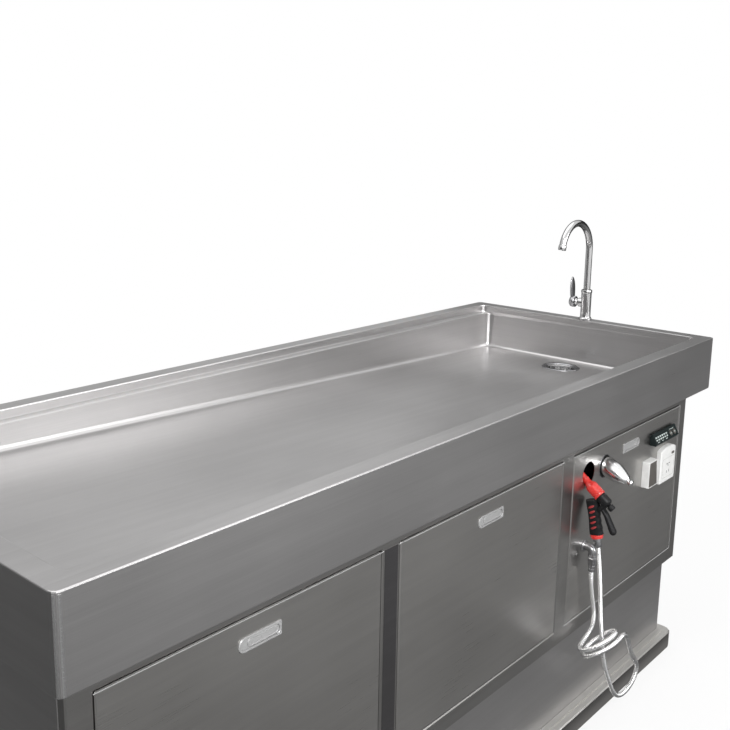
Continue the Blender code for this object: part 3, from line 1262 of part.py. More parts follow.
def make_gun():
    tilt = math.radians(GUN_TILT_DEG)
    into = Vector((0, math.cos(tilt), math.sin(tilt)))
    over = Vector((0, -math.sin(tilt), math.cos(tilt)))
    cross = Vector((GUN_X, FRONT, GUN_CROSS_Z))
    rear = BARREL_END
    barrel = turned("gun_barrel",
                    [(0, NOZZLE_IN), (NOZZLE_RADIUS * NOZZLE_EDGE_SHARE, NOZZLE_IN),
                     (NOZZLE_RADIUS, NOZZLE_IN - CUT / 2),
                     (NOZZLE_RADIUS, -NOZZLE_TAPER_START), (BARREL_RADIUS, -NOZZLE_TAPER_END),
                     (BARREL_RADIUS, -rear), (0, -rear)], cross, into, RED_PLASTIC)

    house_front = cross - into * (rear + GAP)
    house_rear = house_front - into * HOUSING_LENGTH
    grip = grip_shape()
    join(grip, rod("gun_housing", house_front, house_rear, HOUSING_RADIUS, BLACK_PLASTIC))
    lean = math.radians(GRIP_LEAN_DEG)
    down = Vector((0, -math.sin(lean), -math.cos(lean)))
    foot = Vector((GUN_X, GRIP_AXIS_TOP_Y, GRIP_TOP)) + down * GRIP_LENGTH

    collar_start = foot + down * GAP
    collar_end = collar_start + down * GUN_COLLAR_LENGTH
    collar = rod("gun_collar", collar_start, collar_end, GUN_COLLAR_RADIUS, RED_PLASTIC)
    connector_start = collar_end + down * GAP
    connector_end = connector_start + down * GUN_CONNECTOR_LENGTH
    connector = rod("gun_connector", connector_start, connector_end, GUN_CONNECTOR_RADIUS, CHROME)

    pivot = house_front - into * TRIGGER_BACK - over * TRIGGER_HANG
    knots = [pivot + Vector((0, -TRIGGER_LENGTH * out, -TRIGGER_LENGTH * fall))
             for out, fall in zip(TRIGGER_OUT_SHARES, TRIGGER_DOWN_SHARES)]
    line = flow(knots, TRIGGER_STEPS + 1)
    rings = []
    for index, place in enumerate(line):
        way = (line[min(index + 1, len(line) - 1)] - line[max(index - 1, 0)]).normalized()
        out = Vector((0, way.z, -way.y))
        swell = 1.0 if 0 < index < len(line) - 1 else TRIGGER_END_SHARE
        rings.append(oval(place, Vector((1, 0, 0)), out, TRIGGER_WIDTH * swell, TRIGGER_THICKNESS * swell,
                          SMALL_ROUND))
    trigger = smooth(loft("gun_trigger", rings, BLACK_PLASTIC, pivot, close=True))
    half = Vector((TRIGGER_WIDTH / 2, 0, 0))
    join(trigger, rod("trigger_head", pivot - half, pivot + half, TRIGGER_HEAD_RADIUS, BLACK_PLASTIC))
    reach = half + Vector((CUT, 0, 0))
    cut(trigger, rod("trigger_bore", pivot - reach, pivot + reach, TRIGGER_PIN_RADIUS + GAP, BLACK_PLASTIC,
                     sides=SMALL_ROUND))
    carry("trigger_axis", pivot, trigger)
    root = house_front - into * TRIGGER_BACK
    for side in (-1, 1):
        near, far = side * (TRIGGER_WIDTH / 2 + GAP), side * (TRIGGER_WIDTH / 2 + GAP + TRIGGER_EAR)
        join(grip, link("trigger_ear" + str(side), root, pivot, TRIGGER_EAR_RADIUS, min(near, far),
                        max(near, far), BLACK_PLASTIC))
    reach = half + Vector((GAP + TRIGGER_EAR / 2, 0, 0))
    join(grip, rod("trigger_pin", pivot - reach, pivot + reach, TRIGGER_PIN_RADIUS, BLACK_PLASTIC,
                   sides=SMALL_ROUND))

    knob_start = house_rear - into * GAP
    knob = turned("gun_knob",
                  [(0, KNOB_LENGTH), (KNOB_RADIUS * KNOB_NOSE_SHARE, KNOB_LENGTH),
                   (KNOB_RADIUS, KNOB_LENGTH * (1 - KNOB_CHAMFER_SHARE)),
                   (KNOB_RADIUS, KNOB_LENGTH * KNOB_NECK_SHARE), (KNOB_RADIUS * KNOB_FOOT_SHARE, 0), (0, 0)],
                  knob_start, -into, BLACK_PLASTIC, sides=SMALL_ROUND)
    carry("knob_axis", knob_start, knob)
    print("gun pivot", [round(v, 4) for v in pivot], "knob", [round(v, 4) for v in knob_start], "way",
          [round(v, 4) for v in -into])
    return [grip, barrel, collar, connector], connector_end, down


def oval(centre, wide_way, deep_way, width, depth, sides=ROUND):
    """A ring of points on an ellipse."""
    return [centre + wide_way * (width / 2 * math.cos(turn)) + deep_way * (depth / 2 * math.sin(turn))
            for turn in (step / sides * math.tau for step in range(sides))]


def link(name, start, end, radius, low_x, high_x, finish):
    """An upright plate with round ends from start to end, between two places along X of start."""
    along = (end - start).normalized()
    across = Vector((0, -along.z, along.y))
    outline = []
    for middle, first in ((start, math.pi / 2), (end, -math.pi / 2)):
        for step in range(2 * CORNER_STEPS + 1):
            turn = first + step / (2 * CORNER_STEPS) * math.pi
            outline.append(middle + along * (radius * math.cos(turn)) + across * (radius * math.sin(turn)))
    rings = [[point + Vector((x, 0, 0)) for point in outline] for x in (low_x, high_x)]
    return loft(name, rings, finish, start, close=True)


def grip_shape():
    """The grip: oval sections that swell at the palm, leaning away from the panel."""
    lean = math.radians(GRIP_LEAN_DEG)
    down = Vector((0, -math.sin(lean), -math.cos(lean)))
    out = Vector((0, -math.cos(lean), math.sin(lean)))
    start = Vector((GUN_X, GRIP_AXIS_TOP_Y, GRIP_TOP))
    rings = []
    for step in range(GRIP_STEPS + 1):
        share = step / GRIP_STEPS
        swell = 1 - (1 - GRIP_WAIST_SHARE) * math.sin(math.pi * share) ** 2
        centre = start + down * (share * GRIP_LENGTH)
        rings.append(oval(centre, Vector((1, 0, 0)), out, GRIP_WIDTH * swell, GRIP_DEPTH * swell))
    return smooth(loft("gun_grip", rings, BLACK_PLASTIC, start, close=True))


# Switch, outlet and handset


def make_switch():
    half_w, half_h = SWITCH_WIDTH / 2, SWITCH_HEIGHT / 2
    front = SURFACE - SWITCH_DEPTH
    box = block("switch_box", (SWITCH_X - half_w, front, SWITCH_Z - half_h),
                (SWITCH_X + half_w, SURFACE, SWITCH_Z + half_h), WHITE_PLASTIC, rounding=SWITCH_EDGE)
    in_w, in_h = half_w - ROCKER_MARGIN_SIDE, half_h - ROCKER_MARGIN_END
    cut(box, block("rocker_recess", (SWITCH_X - in_w, front - CUT, SWITCH_Z - in_h),
                   (SWITCH_X + in_w, front + ROCKER_RECESS, SWITCH_Z + in_h), WHITE_PLASTIC))
    clear = ROCKER_CLEARANCE
    pivot = Vector((SWITCH_X, front + ROCKER_THICKNESS / 2 + GAP, SWITCH_Z))
    rocker = block("switch_rocker",
                   (SWITCH_X - in_w + clear, pivot.y - ROCKER_THICKNESS / 2, SWITCH_Z - in_h + 2 * clear),
                   (SWITCH_X + in_w - clear, pivot.y + ROCKER_THICKNESS / 2, SWITCH_Z + in_h - 2 * clear),
                   GREY_PLASTIC, centre=pivot, rounding=clear)
    rocker.rotation_euler = (math.radians(-ROCKER_TILT_DEG), 0, 0)
    carry("rocker_axis", pivot, rocker)
    return [box]


def make_outlet_box():
    half_w, half_h = OUTLET_BOX_WIDTH / 2, OUTLET_BOX_HEIGHT / 2
    front = SURFACE - OUTLET_BOX_DEPTH
    steps = 2 * CORNER_STEPS
    outline = [(-half_w, -half_h), (half_w, -half_h)]
    for step in range(steps + 1):
        share = 1 - 2 * step / steps
        outline.append((half_w * share, half_h - OUTLET_BOX_ARCH * share ** 2))
    box = slab("outlet_box", outline, OUTLET_BOX_X, OUTLET_BOX_Z, front, SURFACE, 1, WHITE_PLASTIC)
    bevel(box, OUTLET_BOX_EDGE, 2, degrees=60)
    x, z = OUTLET_BOX_X + BUTTON_X, OUTLET_BOX_Z + BUTTON_Z
    well = BUTTON_LENGTH + BUTTON_TRAVEL + GAP
    side = BUTTON_WIDTH / 2 + GAP
    rise = BUTTON_HEIGHT / 2 + GAP
    cut(box, block("button_well", (x - side, front - CUT, z - rise),
                   (x + side, front + well - BUTTON_PROUD, z + rise), WHITE_PLASTIC))
    for number, (dx, dz) in enumerate(((-SLOT_SPREAD / 2, -BUTTON_Z), (SLOT_SPREAD / 2, -BUTTON_Z),
                                       (0, -BUTTON_Z / 4))):
        cut(box, block("socket_slot" + str(number),
                       (OUTLET_BOX_X + dx - SLOT_WIDTH / 2, front - CUT,
                        OUTLET_BOX_Z + dz - SLOT_HEIGHT / 2),
                       (OUTLET_BOX_X + dx + SLOT_WIDTH / 2, front + SLOT_DEPTH,
                        OUTLET_BOX_Z + dz + SLOT_HEIGHT / 2), WHITE_PLASTIC))
    button = block("outlet_button", (x - BUTTON_WIDTH / 2, front - BUTTON_PROUD, z - BUTTON_HEIGHT / 2),
                   (x + BUTTON_WIDTH / 2, front - BUTTON_PROUD + BUTTON_LENGTH, z + BUTTON_HEIGHT / 2),
                   GREY_PLASTIC, rounding=2 * GAP)
    carry("button_axis", button.location, button)
    return [box]


def make_handset():
    """The lift control: a hooded housing with a sloping face and two travel keys."""
    half = HANDSET_LENGTH / 2
    profile = [(0, 0), (0, HOOD_UP - HOOD_OUT / 2), (HOOD_OUT / 2, HOOD_UP), (HOOD_OUT, HOOD_UP),
               (FACE_TOP_OUT, FACE_TOP_UP + HANDSET_EDGE / 2), (FACE_TOP_OUT, FACE_TOP_UP),
               (FACE_BOTTOM_OUT, FACE_BOTTOM_UP), (FACE_BOTTOM_OUT - HANDSET_EDGE, 0)]
    rings = [[Vector((HANDSET_X + side * half, SURFACE - out, HANDSET_BOTTOM + up)) for out, up in profile]
             for side in (-1, 1)]
    body = loft("handset_body", rings, BLACK_PLASTIC, (HANDSET_X, SURFACE, HANDSET_BOTTOM), close=True)
    bevel(body, HANDSET_EDGE / 4, 2, degrees=30)
    slope = Vector((0, -(FACE_BOTTOM_OUT - FACE_TOP_OUT), FACE_BOTTOM_UP - FACE_TOP_UP)).normalized()
    normal = Vector((0, slope.z, -slope.y))
    middle = Vector((HANDSET_X, SURFACE - (FACE_TOP_OUT + FACE_BOTTOM_OUT) / 2,
                     HANDSET_BOTTOM + (FACE_TOP_UP + FACE_BOTTOM_UP) / 2))
    for name, dx in (("key_up", KEY_UP_X), ("key_down", KEY_DOWN_X)):
        seat = middle + Vector((dx, 0, 0))
        bottom = seat + normal * (KEY_PROUD - KEY_LENGTH)
        cut(body, rod(name + "_well", bottom - normal * (KEY_TRAVEL + GAP), seat + normal * CUT,
                      KEY_RADIUS + GAP, BLACK_PLASTIC))
        key = rod(name, bottom, seat + normal * KEY_PROUD, KEY_RADIUS, GREY_PLASTIC)
        carry(name + "_axis", bottom, key)
    print("handset key axis", [round(v, 5) for v in -normal])
    return [body]


def main():
    make_base()
    lifted = make_columns()
    lifted.append(make_frame())
    lifted += make_shell()
    lifted.append(make_tub())
    make_doors()
    lifted += make_control_panel()
    lifted += make_waste()
    lifted += make_tap()
    lifted += make_mixer()
    outlet, hose_start = make_outlet()
    gun, gun_end, gun_way = make_gun()
    lifted += outlet + gun
    lifted += make_hose(hose_start, gun_end, gun_way)
    lifted += make_switch()
    lifted += make_outlet_box()
    lifted += make_handset()
    carry("lift", (0, 0, SHELL_BOTTOM), *lifted)
    hung = [piece for piece in PARTS.objects if piece.type == "EMPTY" and piece.parent is None]
    for axis in hung:
        if axis.name not in ("lift", "mid_stage"):
            hang(axis, bpy.data.objects["lift"])


main()
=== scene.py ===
"""Looks of the autopsy table: finishes, detailed fittings, camera and light. Metres, +Z up."""
import json
import math

import bmesh
import bpy
from mathutils import Matrix, Vector


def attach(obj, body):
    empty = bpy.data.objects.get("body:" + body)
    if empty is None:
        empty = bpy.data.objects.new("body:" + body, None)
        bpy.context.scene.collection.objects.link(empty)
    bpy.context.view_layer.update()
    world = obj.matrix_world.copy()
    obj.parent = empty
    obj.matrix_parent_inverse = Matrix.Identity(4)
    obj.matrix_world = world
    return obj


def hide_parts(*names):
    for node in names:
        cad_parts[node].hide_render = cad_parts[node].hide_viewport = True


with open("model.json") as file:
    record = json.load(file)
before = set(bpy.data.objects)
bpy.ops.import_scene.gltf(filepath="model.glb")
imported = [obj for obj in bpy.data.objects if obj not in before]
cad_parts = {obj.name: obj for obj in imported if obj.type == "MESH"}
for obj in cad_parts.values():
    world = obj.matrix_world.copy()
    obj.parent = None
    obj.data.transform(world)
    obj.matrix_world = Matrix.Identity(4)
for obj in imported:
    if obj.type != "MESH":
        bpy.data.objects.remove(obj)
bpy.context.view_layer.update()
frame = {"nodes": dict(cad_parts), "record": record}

# Places and sizes taken over from the model
FRONT = -0.371             # face of the doors and the control panel
GAP = 0.0003               # seat clearance between touching pieces
SURFACE = FRONT - GAP      # back of what sits on that face
PANEL_X = 0.694            # middle of door 1 and of the panel, on either side
PULL_Z = 0.7547
RIM_TOP = 1.006
ACROSS = Vector((1, 0, 0))
BACKWARD = Vector((0, 1, 0))
FORWARD = Vector((0, -1, 0))
UPWARD = Vector((0, 0, 1))
DOWN = Vector((0, 0, -1))


# Camera, fitted to the photograph's frame

CAMERA_PLACE = (-1.68078, -1.45709, 1.59110)
CAMERA_ANGLES = 48.8751, 11.1785, -0.9047    # yaw, pitch down and roll, in degrees
CAMERA_LENS = 46.472
CAMERA_SHIFT = -0.0617


def aim_camera():
    yaw, pitch, roll = (math.radians(angle) for angle in CAMERA_ANGLES)
    forward = Vector((math.sin(yaw) * math.cos(pitch), math.cos(yaw) * math.cos(pitch), -math.sin(pitch)))
    level = Vector((math.cos(yaw), -math.sin(yaw), 0))
    down = forward.cross(level)
    right = level * math.cos(roll) + down * math.sin(roll)
    below = -level * math.sin(roll) + down * math.cos(roll)
    data = bpy.data.cameras.new("camera")
    data.sensor_width = 36.0
    data.lens = CAMERA_LENS
    data.shift_y = CAMERA_SHIFT
    data.clip_start = 0.05
    data.clip_end = 100.0
    camera = bpy.data.objects.new("camera", data)
    turn = Matrix((right, -below, -forward)).transposed().to_4x4()
    camera.matrix_world = Matrix.Translation(CAMERA_PLACE) @ turn
    bpy.context.scene.collection.objects.link(camera)
    bpy.context.scene.camera = camera


aim_camera()


# Materials

class Nodes:
    """A node tree with a few helpers for procedural looks."""

    def __init__(self, tree):
        self.tree = tree

    def node(self, kind, **settings):
        made = self.tree.nodes.new(kind)
        for key, value in settings.items():
            setattr(made, key, value)
        return made

    def wire(self, source, target):
        self.tree.links.new(source, target)

    def feed(self, value, target):
        """Set a socket to a number, or wire it to another socket."""
        if isinstance(value, (int, float)):
            target.default_value = value
        else:
            self.wire(value, target)

    def blend(self, factor, first, second):
        """Mix two numbers or sockets by a factor socket."""
        mix = self.node("ShaderNodeMix", data_type="FLOAT")
        for value, place in ((factor, 0), (first, 2), (second, 3)):
            self.feed(value, mix.inputs[place])
        return mix.outputs[0]

    def math(self, operation, first, second=None, clamp=False):
        step = self.node("ShaderNodeMath", operation=operation, use_clamp=clamp)
        self.feed(first, step.inputs[0])
        if second is not None:
            self.feed(second, step.inputs[1])
        return step.outputs[0]

    def centred(self, value, gain):
        """A noise value less its middle, times a gain."""
        return self.math("MULTIPLY", self.math("SUBTRACT", value, 0.5), gain)

    def ramp(self, value, low, high, from_low=0.3, from_high=0.7):
        """Map a value to the range from low to high."""
        step = self.node("ShaderNodeMapRange", clamp=True)
        for key, number in (("From Min", from_low), ("From Max", from_high),
                            ("To Min", low), ("To Max", high)):
            step.inputs[key].default_value = number
        self.wire(value, step.inputs["Value"])
        return step.outputs["Result"]

    def background_rays(self):
        """1 where a ray comes from the camera, from metal or through glass."""
        path = self.node("ShaderNodeLightPath")
        factor = path.outputs["Is Camera Ray"]
        for name in ("Is Glossy Ray", "Is Transmission Ray"):
            factor = self.math("MAXIMUM", factor, path.outputs[name])
        return factor


class Shader(Nodes):
    """A Principled material whose looks follow the object's own coordinates."""

    DARKEST, LIGHTEST = 0.72, 1.14    # shares of the colour that a tint runs between

    def __init__(self, name, colour, roughness, metallic=0.0):
        self.material = bpy.data.materials.new(name)
        self.material.use_nodes = True
        super().__init__(self.material.node_tree)
        self.base = self.tree.nodes["Principled BSDF"]
        self.colour = colour
        self.base.inputs["Base Color"].default_value = (*colour, 1.0)
        self.base.inputs["Roughness"].default_value = roughness
        self.base.inputs["Metallic"].default_value = metallic
        self.place = self.node("ShaderNodeTexCoord").outputs["Object"]

    def noise(self, scale, stretch=(1, 1, 1), detail=3.0):
        """Noise with cells of about 1 / scale metres, drawn out by stretch."""
        mapping = self.node("ShaderNodeMapping")
        mapping.inputs["Scale"].default_value = [scale / part for part in stretch]
        self.wire(self.place, mapping.inputs["Vector"])
        texture = self.node("ShaderNodeTexNoise")
        texture.inputs["Scale"].default_value = 1.0
        texture.inputs["Detail"].default_value = detail
        self.wire(mapping.outputs["Vector"], texture.inputs["Vector"])
        return texture.outputs["Fac"]

    def tint(self, gain):
        """The base colour, darker or lighter by a gain socket."""
        mix = self.node("ShaderNodeMix", data_type="RGBA")
        for place, share in ((6, self.DARKEST), (7, self.LIGHTEST)):
            mix.inputs[place].default_value = (*(min(part * share, 1.0) for part in self.colour), 1.0)
        self.wire(gain, mix.inputs[0])
        self.wire(mix.outputs[2], self.base.inputs["Base Color"])

    def rough(self, value):
        self.wire(value, self.base.inputs["Roughness"])

    def bump(self, height, strength, distance):
        step = self.node("ShaderNodeBump")
        step.inputs["Strength"].default_value = strength
        step.inputs["Distance"].default_value = distance
        self.wire(height, step.inputs["Height"])
        self.wire(step.outputs["Normal"], self.base.inputs["Normal"])


def brushed_steel(name, colour, roughness=0.34, grain=900.0, metallic=1.0):
    """Sheet steel brushed along its length, across it on the faces that look along X."""
    shade = Shader(name, colour, roughness, metallic)
    split = shade.node("ShaderNodeSeparateXYZ")
    shade.wire(shade.node("ShaderNodeNewGeometry").outputs["Normal"], split.inputs[0])
    sideways = shade.math("GREATER_THAN", shade.math("ABSOLUTE", split.outputs["X"]), 0.7)

    def brushed(scale, length):
        along = shade.noise(scale, (length, 1, 1), detail=2.0)
        across = shade.noise(scale, (1, length, 1), detail=2.0)
        return shade.blend(sideways, along, across)

    streaks, bands, clouds = brushed(grain, 120), brushed(60.0, 40), shade.noise(2.6)
    total = shade.math("ADD", shade.centred(streaks, 0.40), shade.centred(bands, 0.35))
    total = shade.math("ADD", total, shade.centred(clouds, 0.5))
    shade.tint(shade.math("ADD", total, 0.65, clamp=True))
    spread = shade.math("ADD", shade.math("MULTIPLY", streaks, 0.16), shade.math("MULTIPLY", clouds, 0.12))
    shade.rough(shade.math("ADD", spread, roughness - 0.14))
    shade.bump(streaks, 0.35, 0.00004)
    return shade.material


def polished(name, colour, roughness, edge=0.45):
    """Plated metal with faint smears, darker towards its outline."""
    shade = Shader(name, colour, roughness, 1.0)
    shade.base.inputs["Specular Tint"].default_value = (edge, edge, edge, 1.0)
    smears = shade.noise(35.0, (1, 1, 3), detail=4.0)
    shade.rough(shade.ramp(smears, roughness, roughness + 0.10, 0.45, 0.75))
    shade.tint(shade.ramp(smears, 0.95, 0.75))
    shade.bump(shade.noise(90.0), 0.05, 0.0002)
    return shade.material


def moulded(name, colour, roughness, grain=1400.0, strength=0.12, coat=0.0, shine=0.5):
    """Moulded plastic with fine grain and slight wear."""
    shade = Shader(name, colour, roughness)
    shade.base.inputs["Specular IOR Level"].default_value = shine
    shade.base.inputs["Coat Weight"].default_value = coat
    shade.base.inputs["Coat Roughness"].default_value = 0.12
    cells = shade.noise(grain, detail=1.0)
    wear = shade.noise(60.0, detail=4.0)
    shade.tint(shade.ramp(wear, 0.50, 0.78))
    shade.rough(shade.ramp(wear, roughness - 0.05, roughness + 0.10))
    shade.bump(cells, strength, 0.0001)
    return shade.material


STEEL = brushed_steel("stainless", (0.530, 0.522, 0.521))
PANEL_STEEL = brushed_steel("panel_steel", (0.515, 0.505, 0.490), 0.32)
# Darker copy of the stainless steel for the front frame: painted shade.
SHADED_FRAME_STEEL = brushed_steel("frame_steel_painted_shade", (0.370, 0.363, 0.354), 0.34)
# Near-black copy of the steel for the strip between the doors: painted shade of the recessed mullion.
STILE_SHADE_STEEL = brushed_steel("stile_painted_shade", (0.170, 0.165, 0.170), 0.34)
# Darker copy of the steel for the base and its skirt: painted shade.
SHADED_BASE_STEEL = brushed_steel("base_steel", (0.185, 0.180, 0.174), 0.38)
# Lighter copy of the steel for the plinth's top and the skirt's foot: painted light.
LIT_PLINTH_STEEL = brushed_steel("plinth_steel_painted_light", (0.670, 0.658, 0.635), 0.40)
# Near-black copy of the steel for the plinth's upright faces: painted shade.
SHADED_PLINTH_SIDE_STEEL = brushed_steel("plinth_side_painted_shade", (0.090, 0.085, 0.080), 0.44)
PULL_METAL = brushed_steel("pull_metal", (0.400, 0.400, 0.400), 0.36, 1600.0, 0.35)
# Light copy of the steel for thin strips on the panel's and doors' folded edges: painted highlights.
EDGE_HIGHLIGHT_METAL = brushed_steel("edge_painted_highlight", (0.560, 0.560, 0.560), 0.36, 1600.0, 0.35)
# Bright copy of the steel for two strips on the front left fold: painted highlights.
CORNER_HIGHLIGHT_STEEL = brushed_steel("corner_painted_highlight", (0.62, 0.62, 0.62), 0.26, 1600.0)
CHROME = polished("chrome", (0.58, 0.58, 0.58), 0.11, 0.12)
BRIGHT_CHROME = polished("bright_chrome", (0.93, 0.93, 0.94), 0.16, 0.5)
SATIN_CHROME = polished("satin_chrome", (0.42, 0.42, 0.43), 0.26)
HOSE_METAL = polished("hose_metal", (0.88, 0.88, 0.89), 0.22, 0.12)
BRASS = polished("brass", (0.60, 0.44, 0.19), 0.28)
WHITE = moulded("white_plastic", (0.72, 0.72, 0.71), 0.32, coat=0.3)
CREAM = moulded("cream_plastic", (0.44, 0.44, 0.42), 0.38)
GREY = moulded("grey_plastic", (0.085, 0.078, 0.070), 0.42)
BLACK = moulded("black_plastic", (0.012, 0.012, 0.013), 0.40, 900.0, 0.25, shine=0.2)
HANDSET = moulded("handset_plastic", (0.010, 0.016, 0.016), 0.42, 900.0, 0.25, shine=0.2)
RED = moulded("red_plastic", (0.66, 0.035, 0.028), 0.28, coat=0.5)
SOFT_RED = moulded("red_rubber", (0.33, 0.022, 0.024), 0.50)
MARK = moulded("key_print", (0.50, 0.56, 0.54), 0.45)
PAINT = moulded("drive_paint", (0.10, 0.11, 0.12), 0.45)
PVC = moulded("pvc", (0.66, 0.66, 0.63), 0.42)
DARK = moulded("deep_black", (0.008, 0.008, 0.008), 0.60)

SLOTS = {
    "stainless": STEEL, "base_steel": SHADED_BASE_STEEL, "chrome": CHROME, "hose_metal": HOSE_METAL,
    "brass": BRASS, "white_plastic": WHITE, "grey_plastic": GREY, "black_plastic": BLACK,
    "red_plastic": RED, "drive_paint": PAINT, "pvc": PVC,
}
SPECIAL = {
    "door_1": PANEL_STEEL, "door_2": PANEL_STEEL, "control_panel": PANEL_STEEL,
    "front_frame": SHADED_FRAME_STEEL, "plinth_cover": LIT_PLINTH_STEEL, "handset_body": HANDSET,
    "drain_body": SATIN_CHROME, "strainer_basket": CHROME, "mixer_body": DARK,
}


def finish_nodes():
    """Give every node of the model its finish, with smooth rounds and sharp folds; the front frame, the base
    and the plinth cover take darker or lighter copies of the steel as painted shade and painted light.
    """
    for entry in frame["record"]["subparts"]:
        node = frame["nodes"][entry["node"]]
        skin = SPECIAL.get(entry["node"], SLOTS[entry["material_slot"]])
        node.data.materials.clear()
        node.data.materials.append(skin)
        node.data.shade_smooth()
        node.data.set_sharp_from_angle(angle=math.radians(32))
        node.modifiers.new("normals", "WEIGHTED_NORMAL").keep_sharp = True
    # The plinth cover's upright faces take the near-black copy and its top the light one: painted shade and
    # painted light by how each face is turned.
    cover = frame["nodes"]["plinth_cover"].data
    cover.materials.append(SHADED_PLINTH_SIDE_STEEL)
    for face in cover.polygons:
        face.material_index = int(abs(face.normal.z) < 0.5)


finish_nodes()


# Building blocks

def piece(name, bm, skin, body, stands_for=(), smooth=35):
    """Make an object from world-space geometry that rides on a body."""
    mesh = bpy.data.meshes.new(name)
    bmesh.ops.recalc_face_normals(bm, faces=bm.faces)
    bm.to_mesh(mesh)
    bm.free()
    obj = bpy.data.objects.new(name, mesh)
    bpy.context.scene.collection.objects.link(obj)
    mesh.materials.append(skin)
    mesh.shade_smooth()
    mesh.set_sharp_from_angle(angle=math.radians(smooth))
    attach(obj, body)
    if stands_for:
        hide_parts(*stands_for)
    return obj


def skin_rings(rings, caps=(True, True), bm=None):
    """Faces between rings with equal counts of points."""
    bm = bm or bmesh.new()
    rows = [[bm.verts.new(point) for point in ring] for ring in rings]
    for lower, upper in zip(rows, rows[1:]):
        count = len(lower)
        for index in range(count):
            after = (index + 1) % count
            bm.faces.new((lower[index], lower[after], upper[after], upper[index]))
    if caps[0]:
        bm.faces.new(rows[0][::-1])
    if caps[1]:
        bm.faces.new(rows[-1])
    return bm


def frame_at(direction):
    """Two unit vectors across a direction."""
    direction = Vector(direction).normalized()
    helper = UPWARD if abs(direction.z) < 0.9 else ACROSS
    side = direction.cross(helper).normalized()
    return side, side.cross(direction).normalized()


def ring_at(centre, side, up, radius, sides):
    """Points of a circle in the plane of two unit vectors."""
    turns = (math.tau * step / sides for step in range(sides))
    return [centre + side * (radius * math.cos(turn)) + up * (radius * math.sin(turn))
            for turn in turns]


def revolve(profile, origin, direction, sides=48, caps=(True, True), bm=None):
    """A profile of (radius, distance along direction) pairs turned about direction."""
    origin, direction = Vector(origin), Vector(direction).normalized()
    rings = [ring_at(origin + direction * along, *frame_at(direction), max(radius, 0.00005), sides)
             for radius, along in profile]
    return skin_rings(rings, caps, bm)


def ball(centre, radius, slices, bands):
    """A sphere, as a start for a piece."""
    tilts = (math.pi * band / bands for band in range(1, bands))
    bm = skin_rings([ring_at(centre + UPWARD * (radius * math.cos(tilt)), ACROSS, BACKWARD,
                             radius * math.sin(tilt), slices) for tilt in tilts], (False, False))
    for ring, height in ((bm.verts[:slices], radius), (bm.verts[-slices:], -radius)):
        pole = bm.verts.new(centre + UPWARD * height)
        for index in range(slices):
            bm.faces.new((ring[index], ring[(index + 1) % slices], pole))
    return bm


def headings(path):
    """The direction of a path at each of its points."""
    last = len(path) - 1
    return [(path[min(index + 1, last)] - path[max(index - 1, 0)]).normalized()
            for index in range(last + 1)]


def carry_frames(path):
    """Side and up vectors carried along a path without twist."""
    ways = headings(path)
    side, up = frame_at(ways[0])
    frames = [(side, up)]
    for before, after in zip(ways, ways[1:]):
        turn = before.rotation_difference(after)
        side, up = turn @ side, turn @ up
        frames.append((side, up))
    return frames


def tube(path, radii, sides):
    """A round tube along a path; radii is one number or one for each point."""
    path = [Vector(point) for point in path]
    if isinstance(radii, (int, float)):
        radii = [radii] * len(path)
    return skin_rings([ring_at(centre, side, up, radius, sides)
                       for centre, radius, (side, up) in zip(path, radii, carry_frames(path))])


def oval(centre, wide, deep, width, depth, sides, power=1.0):
    """Points of an ellipse, squarer where power is under 1."""
    points = []
    for step in range(sides):
        turn = math.tau * step / sides
        c, s = math.cos(turn), math.sin(turn)
        x = math.copysign(abs(c) ** power, c) * width / 2
        y = math.copysign(abs(s) ** power, s) * depth / 2
        points.append(Vector(centre) + Vector(wide) * x + Vector(deep) * y)
    return points


def corners(half_x, half_z, radii, steps):
    """Outline of a rectangle with its own radius at each corner, from the upper right one on."""
    points = []
    sides = ((1, 1), (-1, 1), (-1, -1), (1, -1))
    for quarter, ((side_x, side_z), radius) in enumerate(zip(sides, radii)):
        for step in range(steps + 1):
            angle = (quarter + step / steps) * math.pi / 2
            points.append((side_x * (half_x - radius) + radius * math.cos(angle),
                           side_z * (half_z - radius) + radius * math.sin(angle)))
    return points


def on_front(outline, x, z, y, flip=1):
    """An outline in X and Z stood up at (x, z), facing the front at y."""
    return [Vector((x + flip * dx, y, z + dz)) for dx, dz in outline]


def bent(knots, radius, steps):
    """A line through knots whose corners are arcs."""
    knots = [Vector(knot) for knot in knots]
    points = [knots[0]]
    for before, corner, after in zip(knots, knots[1:], knots[2:]):
        back, ahead = (before - corner).normalized(), (after - corner).normalized()
        half_turn = back.angle(ahead) / 2
        middle = corner + (back + ahead).normalized() * (radius / math.sin(half_turn))
        first = (corner + back * (radius / math.tan(half_turn)) - middle).normalized()
        last = (corner + ahead * (radius / math.tan(half_turn)) - middle).normalized()
        points += [middle + first.slerp(last, step / steps) * radius for step in range(steps + 1)]
    points.append(knots[-1])
    return points


def flow(knots, count, before=None, after=None):
    """Evenly numbered points on a smooth curve through the knots."""
    knots = [Vector(knot) for knot in knots]
    padded = [before or 2 * knots[0] - knots[1], *knots, after or 2 * knots[-1] - knots[-2]]
    spans = len(knots) - 1
    points = []
    for index in range(count):
        place = index / (count - 1) * spans
        span = min(int(place), spans - 1)
        t = place - span
        a, b, c, d = padded[span:span + 4]
        points.append(0.5 * ((2 * b) + (c - a) * t + (2 * a - 5 * b + 4 * c - d) * t ** 2
                             + (3 * b - a - 3 * c + d) * t ** 3))
    return points


# Hose: from the ferrule down, round the coil, and in a loop up to the gun

